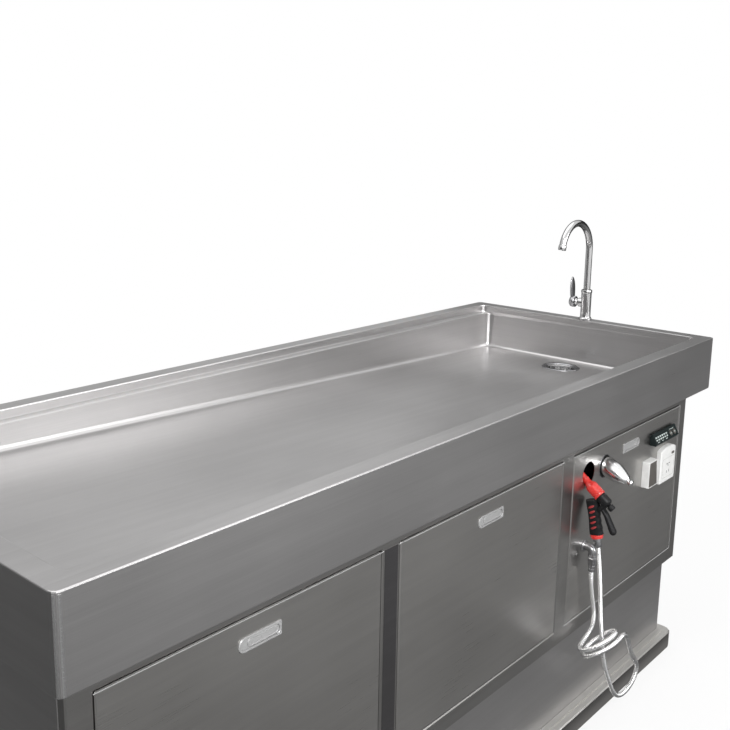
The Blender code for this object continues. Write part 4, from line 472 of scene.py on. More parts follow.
HOSE_RADIUS = 0.0065
COIL_CENTRE = Vector((0.409, -0.446, 0.318))
COIL_AXIS = Vector((-0.117, 0.603, 0.789)).normalized()
COIL_LONG_WAY = Vector((0.608, -0.585, 0.537))    # turns are counted from here
COIL_RADIUS, COIL_PITCH = 0.052, 0.0170
COIL_START, COIL_END = 140.0, 695.0    # degrees
RIB_STEP, RIB_DEPTH = 0.0009, 0.0006
RUN_KNOTS = [
    (0.4574, -0.3970, 0.4337), (0.4632, -0.3970, 0.4096), (0.4701, -0.3970, 0.3859),
    (0.4779, -0.3971, 0.3624), (0.4832, -0.3981, 0.3383), (0.4774, -0.3998, 0.3146),
    (0.4605, -0.4010, 0.2969),
]
LOOP_KNOTS = [
    (0.4858, -0.4901, 0.3128), (0.5130, -0.4844, 0.2836), (0.5361, -0.4802, 0.2508),
    (0.5603, -0.4777, 0.2184), (0.5882, -0.4748, 0.1894), (0.6147, -0.4719, 0.1596),
    (0.6169, -0.4662, 0.1206), (0.5909, -0.4592, 0.0916), (0.5519, -0.4545, 0.0888),
    (0.5202, -0.4523, 0.1124), (0.4985, -0.4512, 0.1464), (0.4790, -0.4494, 0.1819),
    (0.4615, -0.4483, 0.2184), (0.4477, -0.4482, 0.2564), (0.4397, -0.4490, 0.2960),
    (0.4366, -0.4438, 0.3360), (0.4384, -0.4386, 0.3761), (0.4406, -0.4339, 0.4162),
    (0.4417, -0.4293, 0.4564), (0.4433, -0.4243, 0.4965),
]

# The hose's two ends: the ferrule under the outlet, and the connector under the gun's grip
OUTLET_X, HOSE_Y = 0.455, -0.397
FERRULE_END = Vector((OUTLET_X, HOSE_Y, 0.4717))
GUN_X = 0.445
LEAN = math.radians(10.7)
GRIP_DOWN = Vector((0, -math.sin(LEAN), -math.cos(LEAN)))
GRIP_OUT = Vector((0, -math.cos(LEAN), math.sin(LEAN)))
GRIP_TOP = Vector((GUN_X, -0.3925, 0.672))
GRIP_LENGTH = 0.090
COLLAR_LENGTH = 0.010
CONNECTOR_LENGTH = 0.024
GRIP_FOOT = GRIP_TOP + GRIP_DOWN * GRIP_LENGTH
COLLAR_START = GRIP_FOOT + GRIP_DOWN * GAP
CONNECTOR_START = COLLAR_START + GRIP_DOWN * (COLLAR_LENGTH + GAP)
CONNECTOR_END = CONNECTOR_START + GRIP_DOWN * CONNECTOR_LENGTH


def coil_point(degrees):
    """A point of the coil's middle line."""
    along = (COIL_LONG_WAY - COIL_AXIS * COIL_AXIS.dot(COIL_LONG_WAY)).normalized()
    across = COIL_AXIS.cross(along)
    angle = math.radians(degrees)
    return (COIL_CENTRE + (along * math.cos(angle) + across * math.sin(angle)) * COIL_RADIUS
            - COIL_AXIS * (COIL_PITCH * (degrees - COIL_START) / 360))


def hose_path():
    """The whole route: the run down, the coil and the loop."""
    sweep = COIL_END - COIL_START
    coarse = round(sweep / 360 * 24)
    edge = [coil_point(COIL_START + sweep * step / coarse) for step in (0, 1, coarse - 1, coarse)]
    way_in, way_out = (edge[1] - edge[0]).normalized(), (edge[3] - edge[2]).normalized()
    lead = 2 * HOSE_RADIUS
    coil = [coil_point(COIL_START + sweep * step / 180) for step in range(181)]
    coil = [coil[0] - way_in * lead, *coil, coil[-1] + way_out * lead]
    start = FERRULE_END + DOWN * GAP
    end = CONNECTOR_END + GRIP_DOWN * GAP
    run = flow([start + DOWN * lead, *RUN_KNOTS, coil[0] - way_in * (GAP + lead)], 90, start, coil[0])
    loop = flow([coil[-1] + way_out * (GAP + lead), *LOOP_KNOTS, end + GRIP_DOWN * lead], 260,
                coil[-1], end)
    return [start, *run, *coil, *loop, end]


def even(path, pitch):
    """The path again in steps of about the pitch."""
    lengths = [0.0]
    for before, after in zip(path, path[1:]):
        lengths.append(lengths[-1] + (after - before).length)
    count = round(lengths[-1] / pitch)
    points, index = [], 0
    for step in range(count + 1):
        goal = lengths[-1] * step / count
        while index < len(lengths) - 2 and lengths[index + 1] < goal:
            index += 1
        span = max(lengths[index + 1] - lengths[index], 1e-9)
        points.append(path[index].lerp(path[index + 1], (goal - lengths[index]) / span))
    return points, lengths[-1]


def eased(points, rounds):
    """The path with its sharper bends eased, its ends kept."""
    for _ in range(rounds):
        inner = [(before + point * 2 + after) / 4
                 for before, point, after in zip(points, points[1:], points[2:])]
        points = [points[0], points[1], *inner[1:-1], points[-2], points[-1]]
    return points


def make_hose():
    """The ribbed metal hose."""
    points, length = even(eased(even(hose_path(), 0.004)[0], 12), RIB_STEP)
    ribs = [HOSE_RADIUS - (RIB_DEPTH if index % 3 == 2 else 0.0) for index in range(len(points))]
    ribs[0] = ribs[-1] = HOSE_RADIUS
    obj = piece("hose", tube(points, ribs, 14), HOSE_METAL, "lift",
                ("hose_run", "hose_coil", "hose_loop"), smooth=60)
    thin = points[::8]
    if thin[-1] != points[-1]:
        thin.append(points[-1])
    [tuple(point) for point in thin]


make_hose()


# Spray gun

TILT = math.radians(36.6)
INTO = Vector((0, math.cos(TILT), math.sin(TILT)))      # along the barrel, into the holster hole
OVER = Vector((0, -math.sin(TILT), math.cos(TILT)))
CROSS = Vector((GUN_X, FRONT, 0.7190))                  # where its axis meets the panel's face
HOUSE_FRONT = CROSS - INTO * (0.052 + GAP)
HOUSE_REAR = HOUSE_FRONT - INTO * 0.030
HINGE_ROOT = HOUSE_FRONT - INTO * 0.024
TRIGGER_PIVOT = HINGE_ROOT - OVER * 0.0205
TRIGGER_REACH = 0.074
EAR_MIDDLE, EAR_HALF = 0.0108, 0.0014


def make_barrel():
    barrel = revolve([(0.0040, 0.0225), (0.0042, 0.0262), (0.0078, 0.0262), (0.0090, 0.0250),
                      (0.0094, 0.0200), (0.0094, 0.0060), (0.0106, 0.0050), (0.0106, 0.0020),
                      (0.0096, 0.0010), (0.0098, -0.0070), (0.0112, -0.0105), (0.0150, -0.0170),
                      (0.0158, -0.0190), (0.0160, -0.0220), (0.0160, -0.0420), (0.0151, -0.0432),
                      (0.0151, -0.0450), (0.0160, -0.0462), (0.0160, -0.0500), (0.0148, -0.0520)],
                     CROSS, INTO)
    piece("gun_barrel_shell", barrel, RED, "lift", ("gun_barrel",))


def stadium(start, end, radius, steps=10):
    """Outline with round ends from start to end, in a plane across X."""
    along = (end - start).normalized()
    across = Vector((0, -along.z, along.y))
    points = []
    for middle, first in ((start, math.pi / 2), (end, -math.pi / 2)):
        for step in range(steps + 1):
            turn = first + step / steps * math.pi
            points.append(middle + along * (radius * math.cos(turn)) + across * (radius * math.sin(turn)))
    return points


def grip_size(share):
    """Width and depth of the grip at a share of its length."""
    swell = 1 - 0.10 * math.sin(math.pi * share) ** 2
    return 0.027 * swell, 0.036 * swell


def grip_rings():
    """Cross-sections of the grip, with finger waves on its front."""
    rings = []
    for step in range(41):
        share = step / 40
        width, depth = grip_size(share)
        centre = GRIP_TOP + GRIP_DOWN * (share * GRIP_LENGTH)
        ring = oval(centre, ACROSS, GRIP_OUT, width, depth, 40, 0.86)
        wave = 0.0008 * math.cos(share * math.tau * 5)
        rings.append([point + GRIP_OUT * (wave * max((point - centre).dot(GRIP_OUT) / (depth / 2), 0))
                      for point in ring])
    return rings


def make_grip():
    """The grip with its housing, and the trigger's two ears and pin."""
    bm = skin_rings(grip_rings())
    revolve([(0.0132, 0.0), (0.0145, -0.0015), (0.0145, -0.0240), (0.0135, -0.0270), (0.0100, -0.0300)],
            HOUSE_FRONT, INTO, bm=bm)
    for side in (-1, 1):
        shift, half = ACROSS * (side * EAR_MIDDLE), ACROSS * (side * EAR_HALF)
        ear = stadium(HINGE_ROOT + shift, TRIGGER_PIVOT + shift, 0.0060)
        skin_rings([[point + half for point in ear], [point - half for point in ear]], bm=bm)
    revolve([(0.0022, -0.0120), (0.0022, 0.0120)], TRIGGER_PIVOT, ACROSS, 20, bm=bm)
    for side in (-1, 1):
        revolve([(0.0034, side * 0.0120), (0.0030, side * 0.0130), (0.0005, side * 0.0132)], TRIGGER_PIVOT,
                ACROSS, 20, bm=bm)
    piece("gun_grip_shell", bm, BLACK, "lift", ("gun_grip",))


def make_ribs():
    """Slanted soft ribs let into both flanks of the grip."""
    bm = bmesh.new()
    slant = math.radians(24)
    for side in (-1, 1):
        for number in range(5):
            share = 0.17 + 0.155 * number
            width = grip_size(share)[0]
            centre = (GRIP_TOP + GRIP_DOWN * (share * GRIP_LENGTH)
                      + ACROSS * (side * (width / 2 - 0.0028)))
            long_way = GRIP_OUT * math.cos(slant) - GRIP_DOWN * math.sin(slant)
            short_way = GRIP_DOWN * math.cos(slant) + GRIP_OUT * math.sin(slant)
            rings = []
            for lift in (0.0, 0.35, 0.65, 0.85, 0.96, 0.995):
                swell = math.sqrt(1 - lift ** 2)
                rings.append(oval(centre + ACROSS * (side * 0.0046 * lift), long_way, short_way,
                                  0.0200 * swell, 0.0072 * swell, 24, 0.9))
            skin_rings(rings, bm=bm)
    piece("gun_grip_ribs", bm, SOFT_RED, "lift", smooth=60)


def make_trigger():
    """The rear trigger with its eye round the pin."""
    line = flow([TRIGGER_PIVOT + Vector((0, -TRIGGER_REACH * out, -TRIGGER_REACH * fall))
                 for out, fall in ((0.0, 0.0), (0.17, 0.20), (0.30, 0.44), (0.41, 0.65), (0.52, 0.84))], 22)
    rings = []
    for index, (place, way) in enumerate(zip(line, headings(line))):
        share = index / (len(line) - 1)
        swell = math.sqrt(max(1 - max(share - 0.86, 0) ** 2 / 0.14 ** 2 * 0.80, 0.02))
        rings.append(oval(place, ACROSS, (0, way.z, -way.y), (0.0175 + 0.0050 * share) * swell,
                          (0.0100 + 0.0065 * share) * swell, 28, 0.8))
    bm = skin_rings(rings)
    revolve([(0.0010, -0.0089), (0.0046, -0.0089), (0.0048, -0.0085), (0.0048, 0.0085), (0.0046, 0.0089),
             (0.0010, 0.0089)], TRIGGER_PIVOT, ACROSS, 28, bm=bm)
    piece("gun_trigger_shell", bm, BLACK, "gun_trigger", ("gun_trigger",), smooth=50)


def make_knob():
    """The flow knob, fluted round its waist."""
    start = HOUSE_REAR - INTO * GAP
    rings = []
    for radius, along, depth in ((0.0052, 0.0, 0.0), (0.0060, 0.0030, 0.0), (0.0088, 0.0042, 0.0006),
                                 (0.0090, 0.0136, 0.0006), (0.0078, 0.0156, 0.0), (0.0074, 0.0160, 0.0)):
        middle = start - INTO * along
        spokes = [point - middle for point in ring_at(middle, *frame_at(INTO), 1.0, 72)]
        rings.append([middle + spoke * (radius - (depth if index % 6 < 2 else 0.0))
                      for index, spoke in enumerate(spokes)])
    piece("gun_knob_shell", skin_rings(rings), BLACK, "gun_knob", ("gun_knob",))


def make_collar():
    """The collar under the grip, and the hose's connector."""
    collar = revolve([(0.0140, 0.0), (0.0160, 0.0006), (0.0165, 0.0020), (0.0165, 0.0080), (0.0158, 0.0096),
                      (0.0140, 0.0100)], COLLAR_START, GRIP_DOWN)
    piece("gun_collar_shell", collar, RED, "lift", ("gun_collar",))
    connector = revolve([(0.0098, 0.0), (0.0105, 0.0008), (0.0105, 0.0088), (0.0092, 0.0096),
                         (0.0092, 0.0112), (0.0105, 0.0120), (0.0105, 0.0200), (0.0092, 0.0232),
                         (0.0080, 0.0240)], CONNECTOR_START, GRIP_DOWN)
    piece("gun_connector_shell", connector, SATIN_CHROME, "lift", ("gun_connector",))


make_barrel()
make_grip()
make_ribs()
make_trigger()
make_knob()
make_collar()


# Gooseneck tap

TAP = Vector((1.077, -0.006, RIM_TOP + GAP))
TAP_RISE = 0.330
TUBE_RADIUS, ARCH_RADIUS = 0.01075, 0.088
LEVER_ROOT, LEVER_WIDEST, LEVER_RISE = 0.0220, 0.033, 0.0810


def make_tap_body():
    """The pillar, the valve's boss at its back and the shank through the rim."""
    body = revolve([(0.0195, 0.0), (0.0205, 0.0008), (0.0205, 0.0040), (0.0192, 0.0056),
                    (0.0174, 0.0075), (0.0165, 0.0110), (0.0163, 0.0300), (0.0163, 0.0870),
                    (0.0172, 0.0882), (0.0175, 0.0900), (0.0175, 0.0950), (0.0166, 0.0972),
                    (0.0150, 0.0980)], TAP, UPWARD, 64)
    revolve([(0.0145, 0.0), (0.0145, 0.0245), (0.0136, 0.0257), (0.0120, 0.0260)], TAP + UPWARD * 0.054,
            BACKWARD, 56, bm=body)
    revolve([(0.0110, -0.055), (0.0110, 0.0)], TAP, UPWARD, bm=body)
    piece("tap_body_shell", body, CHROME, "lift", ("tap_body",))


def make_tap_spout():
    """The tube with its arch, and the aerator at its mouth."""
    foot = TAP + UPWARD * 0.0983
    arch_z = RIM_TOP + TAP_RISE - TUBE_RADIUS - ARCH_RADIUS
    path = [foot + UPWARD * ((arch_z - foot.z) * step / 6) for step in range(7)]
    sweep = math.radians(164)
    for step in range(1, 57):
        turn = sweep * step / 56
        path.append(Vector((TAP.x - ARCH_RADIUS + ARCH_RADIUS * math.cos(turn), TAP.y,
                            arch_z + ARCH_RADIUS * math.sin(turn))))
    piece("tap_spout_tube", tube(path, TUBE_RADIUS, 48), CHROME, "spout", ("tap_spout",))
    heading = Vector((math.cos(sweep + math.pi / 2), 0, math.sin(sweep + math.pi / 2)))
    mouth = path[-1] + heading * GAP
    aerator = revolve([(0.0104, 0.0), (0.0118, 0.0006), (0.0122, 0.0016), (0.0122, 0.0124), (0.0116, 0.0138),
                       (0.0100, 0.0140), (0.0096, 0.0115), (0.0005, 0.0110)], mouth, heading)
    piece("tap_aerator_shell", aerator, CHROME, "spout", ("tap_aerator",))


def make_tap_lever():
    """The ball in the boss, and the lever with its cap."""
    pivot = Vector((TAP.x, 0.0318, 1.0603))
    bm = ball(pivot, 0.0115, 40, 24)
    revolve([(0.0080, -0.0115), (0.0080, 0.0)], pivot, BACKWARD, 32, bm=bm)
    piece("tap_hub_ball", bm, CHROME, "tap_hub", ("tap_hub",))

    cap = revolve([(0.0122, -0.0008), (0.0165, -0.0004), (0.0182, 0.0016), (0.0184, 0.0090), (0.0172, 0.0146),
                   (0.0136, 0.0180), (0.0080, 0.0195), (0.0020, 0.0199)], pivot, BACKWARD, 56, (False, True))
    rings = []
    for step in range(25):
        share = step / 24
        half = LEVER_ROOT / 2 + (LEVER_WIDEST - LEVER_ROOT) / 2 * math.sin(share * math.pi * 0.77)
        half = max(half * math.sqrt(1 - share ** 4), 0.0012)
        centre = pivot + Vector((0, 0.018 - 0.00675 + 0.0045 * share, share * LEVER_RISE))
        rings.append(oval(centre, ACROSS, BACKWARD, 2 * half, 0.0070 * (1 - 0.5 * share ** 6), 32, 0.9))
    skin_rings(rings, bm=cap)
    piece("tap_lever_shell", cap, SATIN_CHROME, "tap_lever", ("tap_lever",), smooth=50)


make_tap_body()
make_tap_spout()
make_tap_lever()


# Mixer on the control panel

MIXER = Vector((0.543, FRONT - 0.010, 0.733))


def make_mixer():
    """The ball, the drooping lever round it, and the ring and dark seal of its hole."""
    piece("mixer_ball", ball(MIXER, 0.0185, 48, 28), CHROME, "mixer_hub", ("mixer_hub",))

    droop = math.radians(23)
    along = Vector((0, -math.cos(droop), -math.sin(droop)))
    up = Vector((0, -math.sin(droop), math.cos(droop)))
    shape = [    # reach, width, height
        (-0.020, 0.028, 0.028), (-0.017, 0.041, 0.039), (-0.011, 0.049, 0.047), (-0.002, 0.0540, 0.051),
        (0.010, 0.055, 0.052), (0.021, 0.054, 0.050), (0.032, 0.051, 0.046), (0.043, 0.045, 0.039),
        (0.053, 0.037, 0.031), (0.061, 0.028, 0.023), (0.065, 0.018, 0.015), (0.068, 0.018, 0.015),
        (0.072, 0.020, 0.017), (0.076, 0.017, 0.014), (0.0785, 0.006, 0.005)]
    rings = [oval(MIXER + along * reach, ACROSS, up, width, height, 48)
             for reach, width, height in flow(shape, 71)]
    piece("mixer_lever_shell", skin_rings(rings), BRIGHT_CHROME, "mixer_lever", ("mixer_lever",),
          smooth=60)

    ring = revolve([(0.0300, -0.0040), (0.0300, 0.0008), (0.0304, 0.0013), (0.0314, 0.0014),
                    (0.0320, 0.0010), (0.0321, GAP)], (MIXER.x, FRONT, MIXER.z), FORWARD, 64, (False, False))
    piece("mixer_ring", ring, SATIN_CHROME, "lift", smooth=50)
    seal = revolve([(0.0292, 0.0), (0.0296, -0.0006), (0.0296, -0.0020), (0.0292, -0.0024),
                    (0.0230, -0.0024), (0.0230, 0.0)], (MIXER.x, FRONT + 0.0100, MIXER.z), BACKWARD, 64)
    piece("mixer_dark_seal", seal, DARK, "lift", smooth=50)


make_mixer()


# Hose outlet

def make_outlet():
    """The elbow out of the panel, and the hose's nut and ferrule under it."""
    axis_z = 0.536
    knots = [(OUTLET_X, FRONT + 0.018, axis_z), (OUTLET_X, HOSE_Y, axis_z), (OUTLET_X, HOSE_Y, 0.512)]
    bm = tube(bent(knots, 0.014, 14), 0.0105, 40)
    revolve([(0.0160, 0.0003), (0.0160, 0.0022), (0.0148, 0.0040), (0.0110, 0.0044), (0.0100, 0.0060)],
            (OUTLET_X, FRONT, axis_z), FORWARD, bm=bm)
    revolve([(0.0105, 0.0), (0.0120, 0.0012), (0.0120, 0.0050), (0.0110, 0.0060)],
            (OUTLET_X, HOSE_Y, 0.5185), DOWN, bm=bm)
    piece("outlet_elbow_shell", bm, SATIN_CHROME, "lift", ("outlet_elbow",))
    top = (OUTLET_X, HOSE_Y, 0.5117)
    nut = revolve([(0.0108, 0.0), (0.0125, 0.0018), (0.0125, 0.0200), (0.0110, 0.0220)], top, DOWN, 6)
    revolve([(0.0084, 0.0220), (0.0090, 0.0232), (0.0090, 0.0290), (0.0082, 0.0298), (0.0082, 0.0312),
             (0.0090, 0.0320), (0.0090, 0.0380), (0.0078, 0.0400)], top, DOWN, 40, bm=nut)
    piece("hose_nut_shell", nut, SATIN_CHROME, "lift", ("hose_nut",), smooth=25)


make_outlet()


# Flush pulls

def make_pull(number, x, flip, body):
    """A plate with one round end, a stadium recess, and a flap in it; flip is -1 to mirror it."""
    half_l, half_h = 0.049, 0.0135
    round_end = half_h - 0.0002
    outer = corners(half_l, half_h, (0.0015, round_end, round_end, 0.0015), 8)
    inner = corners(0.0445, 0.0090, (0.0088,) * 4, 8)
    face = SURFACE - 0.0030

    def ring(outline, y, grow=0.0):
        return on_front([(dx * (1 + grow / half_l), dz * (1 + grow / half_h)) for dx, dz in outline],
                        x, PULL_Z, y, flip)

    rings = [ring(outer, SURFACE), ring(outer, face + 0.0010), ring(outer, face, -0.0010),
             ring(inner, face, 0.0010), ring(inner, face + 0.0010), ring(inner, SURFACE + 0.0085)]
    piece("pull_plate_shell_" + str(number), skin_rings(rings), PULL_METAL, body,
          ("pull_plate_" + str(number),), smooth=28)

    low, high, flap_h = -0.0285, 0.0436, 0.0083
    middle, half = (low + high) / 2, (high - low) / 2
    flap = corners(half, flap_h, (0.0080,) * 4, 8)

    def flap_ring(y, shrink):
        return on_front([(middle + dx * (1 - shrink / half), dz * (1 - shrink / flap_h)) for dx, dz in flap],
                        x, PULL_Z, y, flip)

    top = SURFACE - 0.0016
    rings = [flap_ring(top + 0.0030, 0.0), flap_ring(top + 0.0008, 0.0), flap_ring(top, 0.0009),
             flap_ring(top, 0.0024), flap_ring(top + 0.0007, 0.0032)]
    piece("pull_flap_shell_" + str(number), skin_rings(rings), PULL_METAL, "pull_flap_" + str(number),
          ("pull_flap_" + str(number),), smooth=28)


make_pull(1, -PANEL_X, 1, "door_1")
make_pull(2, 0.0, 1, "door_2")
make_pull(3, PANEL_X, -1, "lift")


# Switch, outlet and handset

def soft_box(outline, x, z, half_w, half_h, back, front, edge):
    """A box on the panel from an outline and its half sizes, with a soft front edge."""
    rings = [on_front(outline, x, z, back)]
    for step in range(5):
        turn = step / 4 * math.pi / 2
        inset = edge * (1 - math.cos(turn))
        depth = front + edge * (1 - math.sin(turn))
        shrunk = [(dx * (1 - inset / half_w), dz * (1 - inset / half_h)) for dx, dz in outline]
        rings.append(on_front(shrunk, x, z, depth))
    return skin_rings(rings)


def make_switch():
    """The switch's hollow box and its tilted rocker."""
    x, z = 0.808, 0.6445
    front = SURFACE - 0.022
    outline = corners(0.028, 0.039, (0.0035,) * 4, 6)
    inner = corners(0.0250, 0.0360, (0.0020,) * 4, 6)

    def ring(points, y, scale=1.0):
        return on_front([(dx * scale, dz * scale) for dx, dz in points], x, z, y)

    rings = [ring(outline, SURFACE), ring(outline, front + 0.0020), ring(outline, front + 0.0006, 0.990),
             ring(outline, front, 0.970), ring(inner, front, 1.015), ring(inner, front + 0.0006),
             ring(inner, front + 0.0100)]
    piece("switch_box_shell", skin_rings(rings), WHITE, "lift", ("switch_box",), smooth=50)

    pivot = Vector((x, front + 0.0028, z))
    tilt = Matrix.Rotation(math.radians(-4), 4, "X")
    rings = []
    for depth, inset in ((0.0025, 0.0), (-0.0014, 0.0), (-0.0022, 0.0005), (-0.0025, 0.0014)):
        half_w, half_h = 0.0244 - inset, 0.0348 - inset
        ring = [Vector((dx, depth, dz)) for dx, dz in corners(half_w, half_h, (0.0012,) * 4, 4)]
        rings.append([pivot + tilt @ point for point in ring])
    piece("switch_rocker_shell", skin_rings(rings), GREY, "switch_rocker", ("switch_rocker",),
          smooth=50)


def make_outlet_box():
    """The outlet with its curved top, slots drawn as dark patches of painted shade, frame line and test
    button.
    """
    x, z = 0.925, 0.647
    half_w, half_h = 0.050, 0.0575
    front = SURFACE - 0.015
    outline = [(-half_w + 0.003, -half_h), (half_w - 0.003, -half_h), (half_w - 0.0008, -half_h + 0.0008),
               (half_w, -half_h + 0.003)]
    for step in range(21):
        share = 1 - 2 * step / 20
        outline.append((half_w * share, half_h - 0.006 - 0.010 * abs(share) ** 3))
    outline += [(-half_w, -half_h + 0.003), (-half_w + 0.0008, -half_h + 0.0008)]
    bm = soft_box(outline, x, z, half_w, half_h, SURFACE, front, 0.004)
    piece("outlet_box_shell", bm, WHITE, "lift", ("outlet_box",), smooth=50)
    # Deep-black patches on the face where the slots are: painted shade of the holes.
    slot_shades = bmesh.new()
    for dx, dz, upright in ((-0.008, -0.026, True), (0.008, -0.026, True), (0.0, -0.0065, True),
                            (-0.008, -0.002, False), (0.008, -0.002, False)):
        half_x, half_z = (0.00125, 0.004) if upright else (0.004, 0.00125)
        outline = corners(half_x, half_z, (0.0006,) * 4, 3)
        skin_rings([on_front(outline, x + dx, z + dz, front - 0.00015),
                    on_front(outline, x + dx, z + dz, front + 0.0010)], bm=slot_shades)
    piece("outlet_slots_painted_shade", slot_shades, DARK, "lift")
    outer = corners(0.0400, 0.0300, (0.006,) * 4, 6)
    inner = corners(0.0392, 0.0292, (0.0055,) * 4, 6)
    rings = [on_front(outline, x, z - 0.013, front + step) for outline, step in
             ((outer, 0.0010), (outer, -0.0004), (inner, -0.0004), (inner, 0.0010))]
    piece("outlet_frame_line", skin_rings(rings, (False, False)), CREAM, "lift")
    outline = corners(0.008, 0.0035, (0.0012,) * 4, 6)
    button = soft_box(outline, x + 0.028, z + 0.026, 0.008, 0.0035, front + 0.0045, front - 0.0015, 0.0008)
    piece("outlet_button_shell", button, GREY, "outlet_button", ("outlet_button",), smooth=50)


def make_handset():
    """Print on the handset's sloping face, and arrows on its two keys."""
    x, foot_z = 0.894, 0.722
    low_depth, low_z, high_depth, high_z = 0.022, 0.006, 0.010, 0.029    # ends of the sloping face
    slope = Vector((0, -(low_depth - high_depth), low_z - high_z)).normalized()
    normal = Vector((0, slope.z, -slope.y))
    middle = Vector((x, SURFACE - (high_depth + low_depth) / 2, foot_z + (high_z + low_z) / 2))
    bm = bmesh.new()

    def pad(dx, down, half_x, half_s):
        centre = middle + ACROSS * dx + slope * down
        outline = corners(half_x, half_s, (min(half_x, half_s) * 0.4,) * 4, 3)
        skin_rings([[centre + normal * lift + ACROSS * (px * scale) + slope * (ps * scale)
                     for px, ps in outline]
                    for lift, scale in ((-0.0010, 1.0), (0.0004, 1.0), (0.0005, 0.9))], bm=bm)

    for column in range(6):
        dx = -0.064 + 0.0135 * column
        pad(dx, -0.0060, 0.0044, 0.0022)
        pad(dx, 0.0016, 0.0044, 0.0022)
        if column % 2 == 0:
            pad(dx + 0.006, 0.0082, 0.0060, 0.0009)
    pad(0.042, -0.0108, 0.014, 0.0008)
    piece("handset_print", bm, MARK, "lift", smooth=50)
    for name, dx, way in (("key_up", 0.030, -1), ("key_down", 0.054, 1)):
        seat = middle + ACROSS * dx
        bm = revolve([(0.0070, -0.0024), (0.0080, -0.0020), (0.0080, 0.0010), (0.0074, 0.0016),
                      (0.0030, 0.0017)], seat, normal, 40)
        piece(name + "_shell", bm, GREY, name, (name,), smooth=40)
        arrow = [seat + ACROSS * px + slope * (-ps * way)
                 for px, ps in ((-0.0042, 0.0018), (0.0, -0.0034), (0.0042, 0.0018), (0.0028, 0.0028),
                                (0.0, -0.0004), (-0.0028, 0.0028))]
        bm = skin_rings([[point + normal * lift for point in arrow] for lift in (0.0012, 0.0020)])
        piece(name + "_arrow", bm, MARK, name)


make_switch()
make_outlet_box()
make_handset()


# Folded foot of the skirt on the plinth, in painted light, and thin strips of painted highlight and painted
# shade on edges and folds

def make_foot():
    """The strip along the skirt's foot, in the plinth top's lighter copy of the steel: painted light."""
    back, front = -0.3495, -0.3675
    rings = [[Vector((x, y, z)) for x, y in ((-reach, back), (reach, back), (reach, front), (-reach, front))]
             for reach, z in ((1.026, 0.0522), (1.026, 0.0544), (1.0255, 0.0549))]
    piece("skirt_foot", skin_rings(rings), LIT_PLINTH_STEEL, "base", smooth=30)


def make_lines():
    """A strip of painted shade between the doors, painted highlights along folded edges, and two painted
    highlights on the fold at the front left.
    """
    for name, skin, body, low_x, high_x, low_z, high_z in (
            # A near-black strip over the recessed mullion between the doors: painted shade.
            ("door_stile_shade", STILE_SHADE_STEEL, "lift", -0.3670, -0.3270, 0.3415, 0.8000),
            # Thin light strips along the panel's edges and the doors' tops: painted highlights.
            ("panel_low_edge_highlight", EDGE_HIGHLIGHT_METAL, "lift", 0.3685, 1.0205, 0.3392, 0.3412),
            ("panel_right_edge_highlight", EDGE_HIGHLIGHT_METAL, "lift", 1.0198, 1.0207, 0.3412, 0.8000),
            ("panel_top_edge_highlight", EDGE_HIGHLIGHT_METAL, "lift", 0.3695, 1.0185, 0.7985, 0.7997),
            ("door_1_top_edge_highlight", EDGE_HIGHLIGHT_METAL, "door_1", -1.0150, -0.3695, 0.7980, 0.7997),
            ("door_2_top_edge_highlight", EDGE_HIGHLIGHT_METAL, "door_2", -0.3245, 0.3245, 0.7980, 0.7997)):
        outline = [(high_x, high_z), (low_x, high_z), (low_x, low_z), (high_x, low_z)]
        bm = skin_rings([on_front(outline, 0.0, 0.0, y) for y in (FRONT + 0.0004, FRONT - 0.0004)])
        piece(name, bm, skin, body, smooth=30)
    # Two bright strips round the front left fold, where its rounding catches light: painted highlights.
    corner_x, corner_y = -1.088, -0.413
    for number, first, last in ((1, 30, 50), (2, 68, 92)):
        turns = [math.radians(first + (last - first) * step / 8) for step in range(9)]
        outline = [(corner_x - radius * math.cos(turn), corner_y - radius * math.sin(turn))
                   for radius, row in ((0.0124, turns), (0.0115, turns[::-1])) for turn in row]
        bm = skin_rings([[Vector((x, y, z)) for x, y in outline] for z in (0.8530, 1.0010)])
        piece("corner_fold_highlight_" + str(number), bm, CORNER_HIGHLIGHT_STEEL, "lift", smooth=30)


make_foot()
make_lines()


# Light

WORLD_LEVEL = 0.55         # on what isn't metal
FLOOR_Z = -0.0005
CARD_Z = 0.004
FADE_FROM, FADE_TO = 1.4, 3.2    # the floor's shadow is gone at this distance


def light_world():
    """White for the camera, for metal and for glass, and a plain soft level on the object."""
    world = bpy.data.worlds.new("studio")
    bpy.context.scene.world = world
    world.use_nodes = True
    nodes = Nodes(world.node_tree)
    background = nodes.tree.nodes["Background"]
    background.inputs["Color"].default_value = (1.0, 1.0, 1.0, 1.0)
    nodes.wire(nodes.blend(nodes.background_rays(), WORLD_LEVEL, 1.0), background.inputs["Strength"])


def lamp(name, place, target, size, power):
    """A rectangular lamp turned to a target, in watts."""
    data = bpy.data.lights.new(name, "AREA")
    data.shape = "RECTANGLE"
    data.size, data.size_y = size
    data.energy = power
    obj = bpy.data.objects.new(name, data)
    obj.location = place
    obj.rotation_mode = "QUATERNION"
    obj.rotation_quaternion = (Vector(target) - Vector(place)).to_track_quat("-Z", "Y")
    bpy.context.scene.collection.objects.link(obj)


def flat(name, points):
    """A four-sided face with a material of its own, as part of the stage."""
    mesh = bpy.data.meshes.new(name)
    mesh.from_pydata(points, [], [(0, 1, 2, 3)])
    obj = bpy.data.objects.new(name, mesh)
    bpy.context.scene.collection.objects.link(obj)
    skin = bpy.data.materials.new(name)
    skin.use_nodes = True
    mesh.materials.append(skin)
    return obj, Nodes(skin.node_tree)


def lying(low, high, z=CARD_Z):
    """Corners of a rectangle that lies flat."""
    return [(low[0], low[1], z), (high[0], low[1], z), (high[0], high[1], z), (low[0], high[1], z)]


def standing(start, end, height):
    """Corners of a rectangle that stands on a line on the floor."""
    return [(*start, 0.0), (*end, 0.0), (*end, height), (*start, height)]


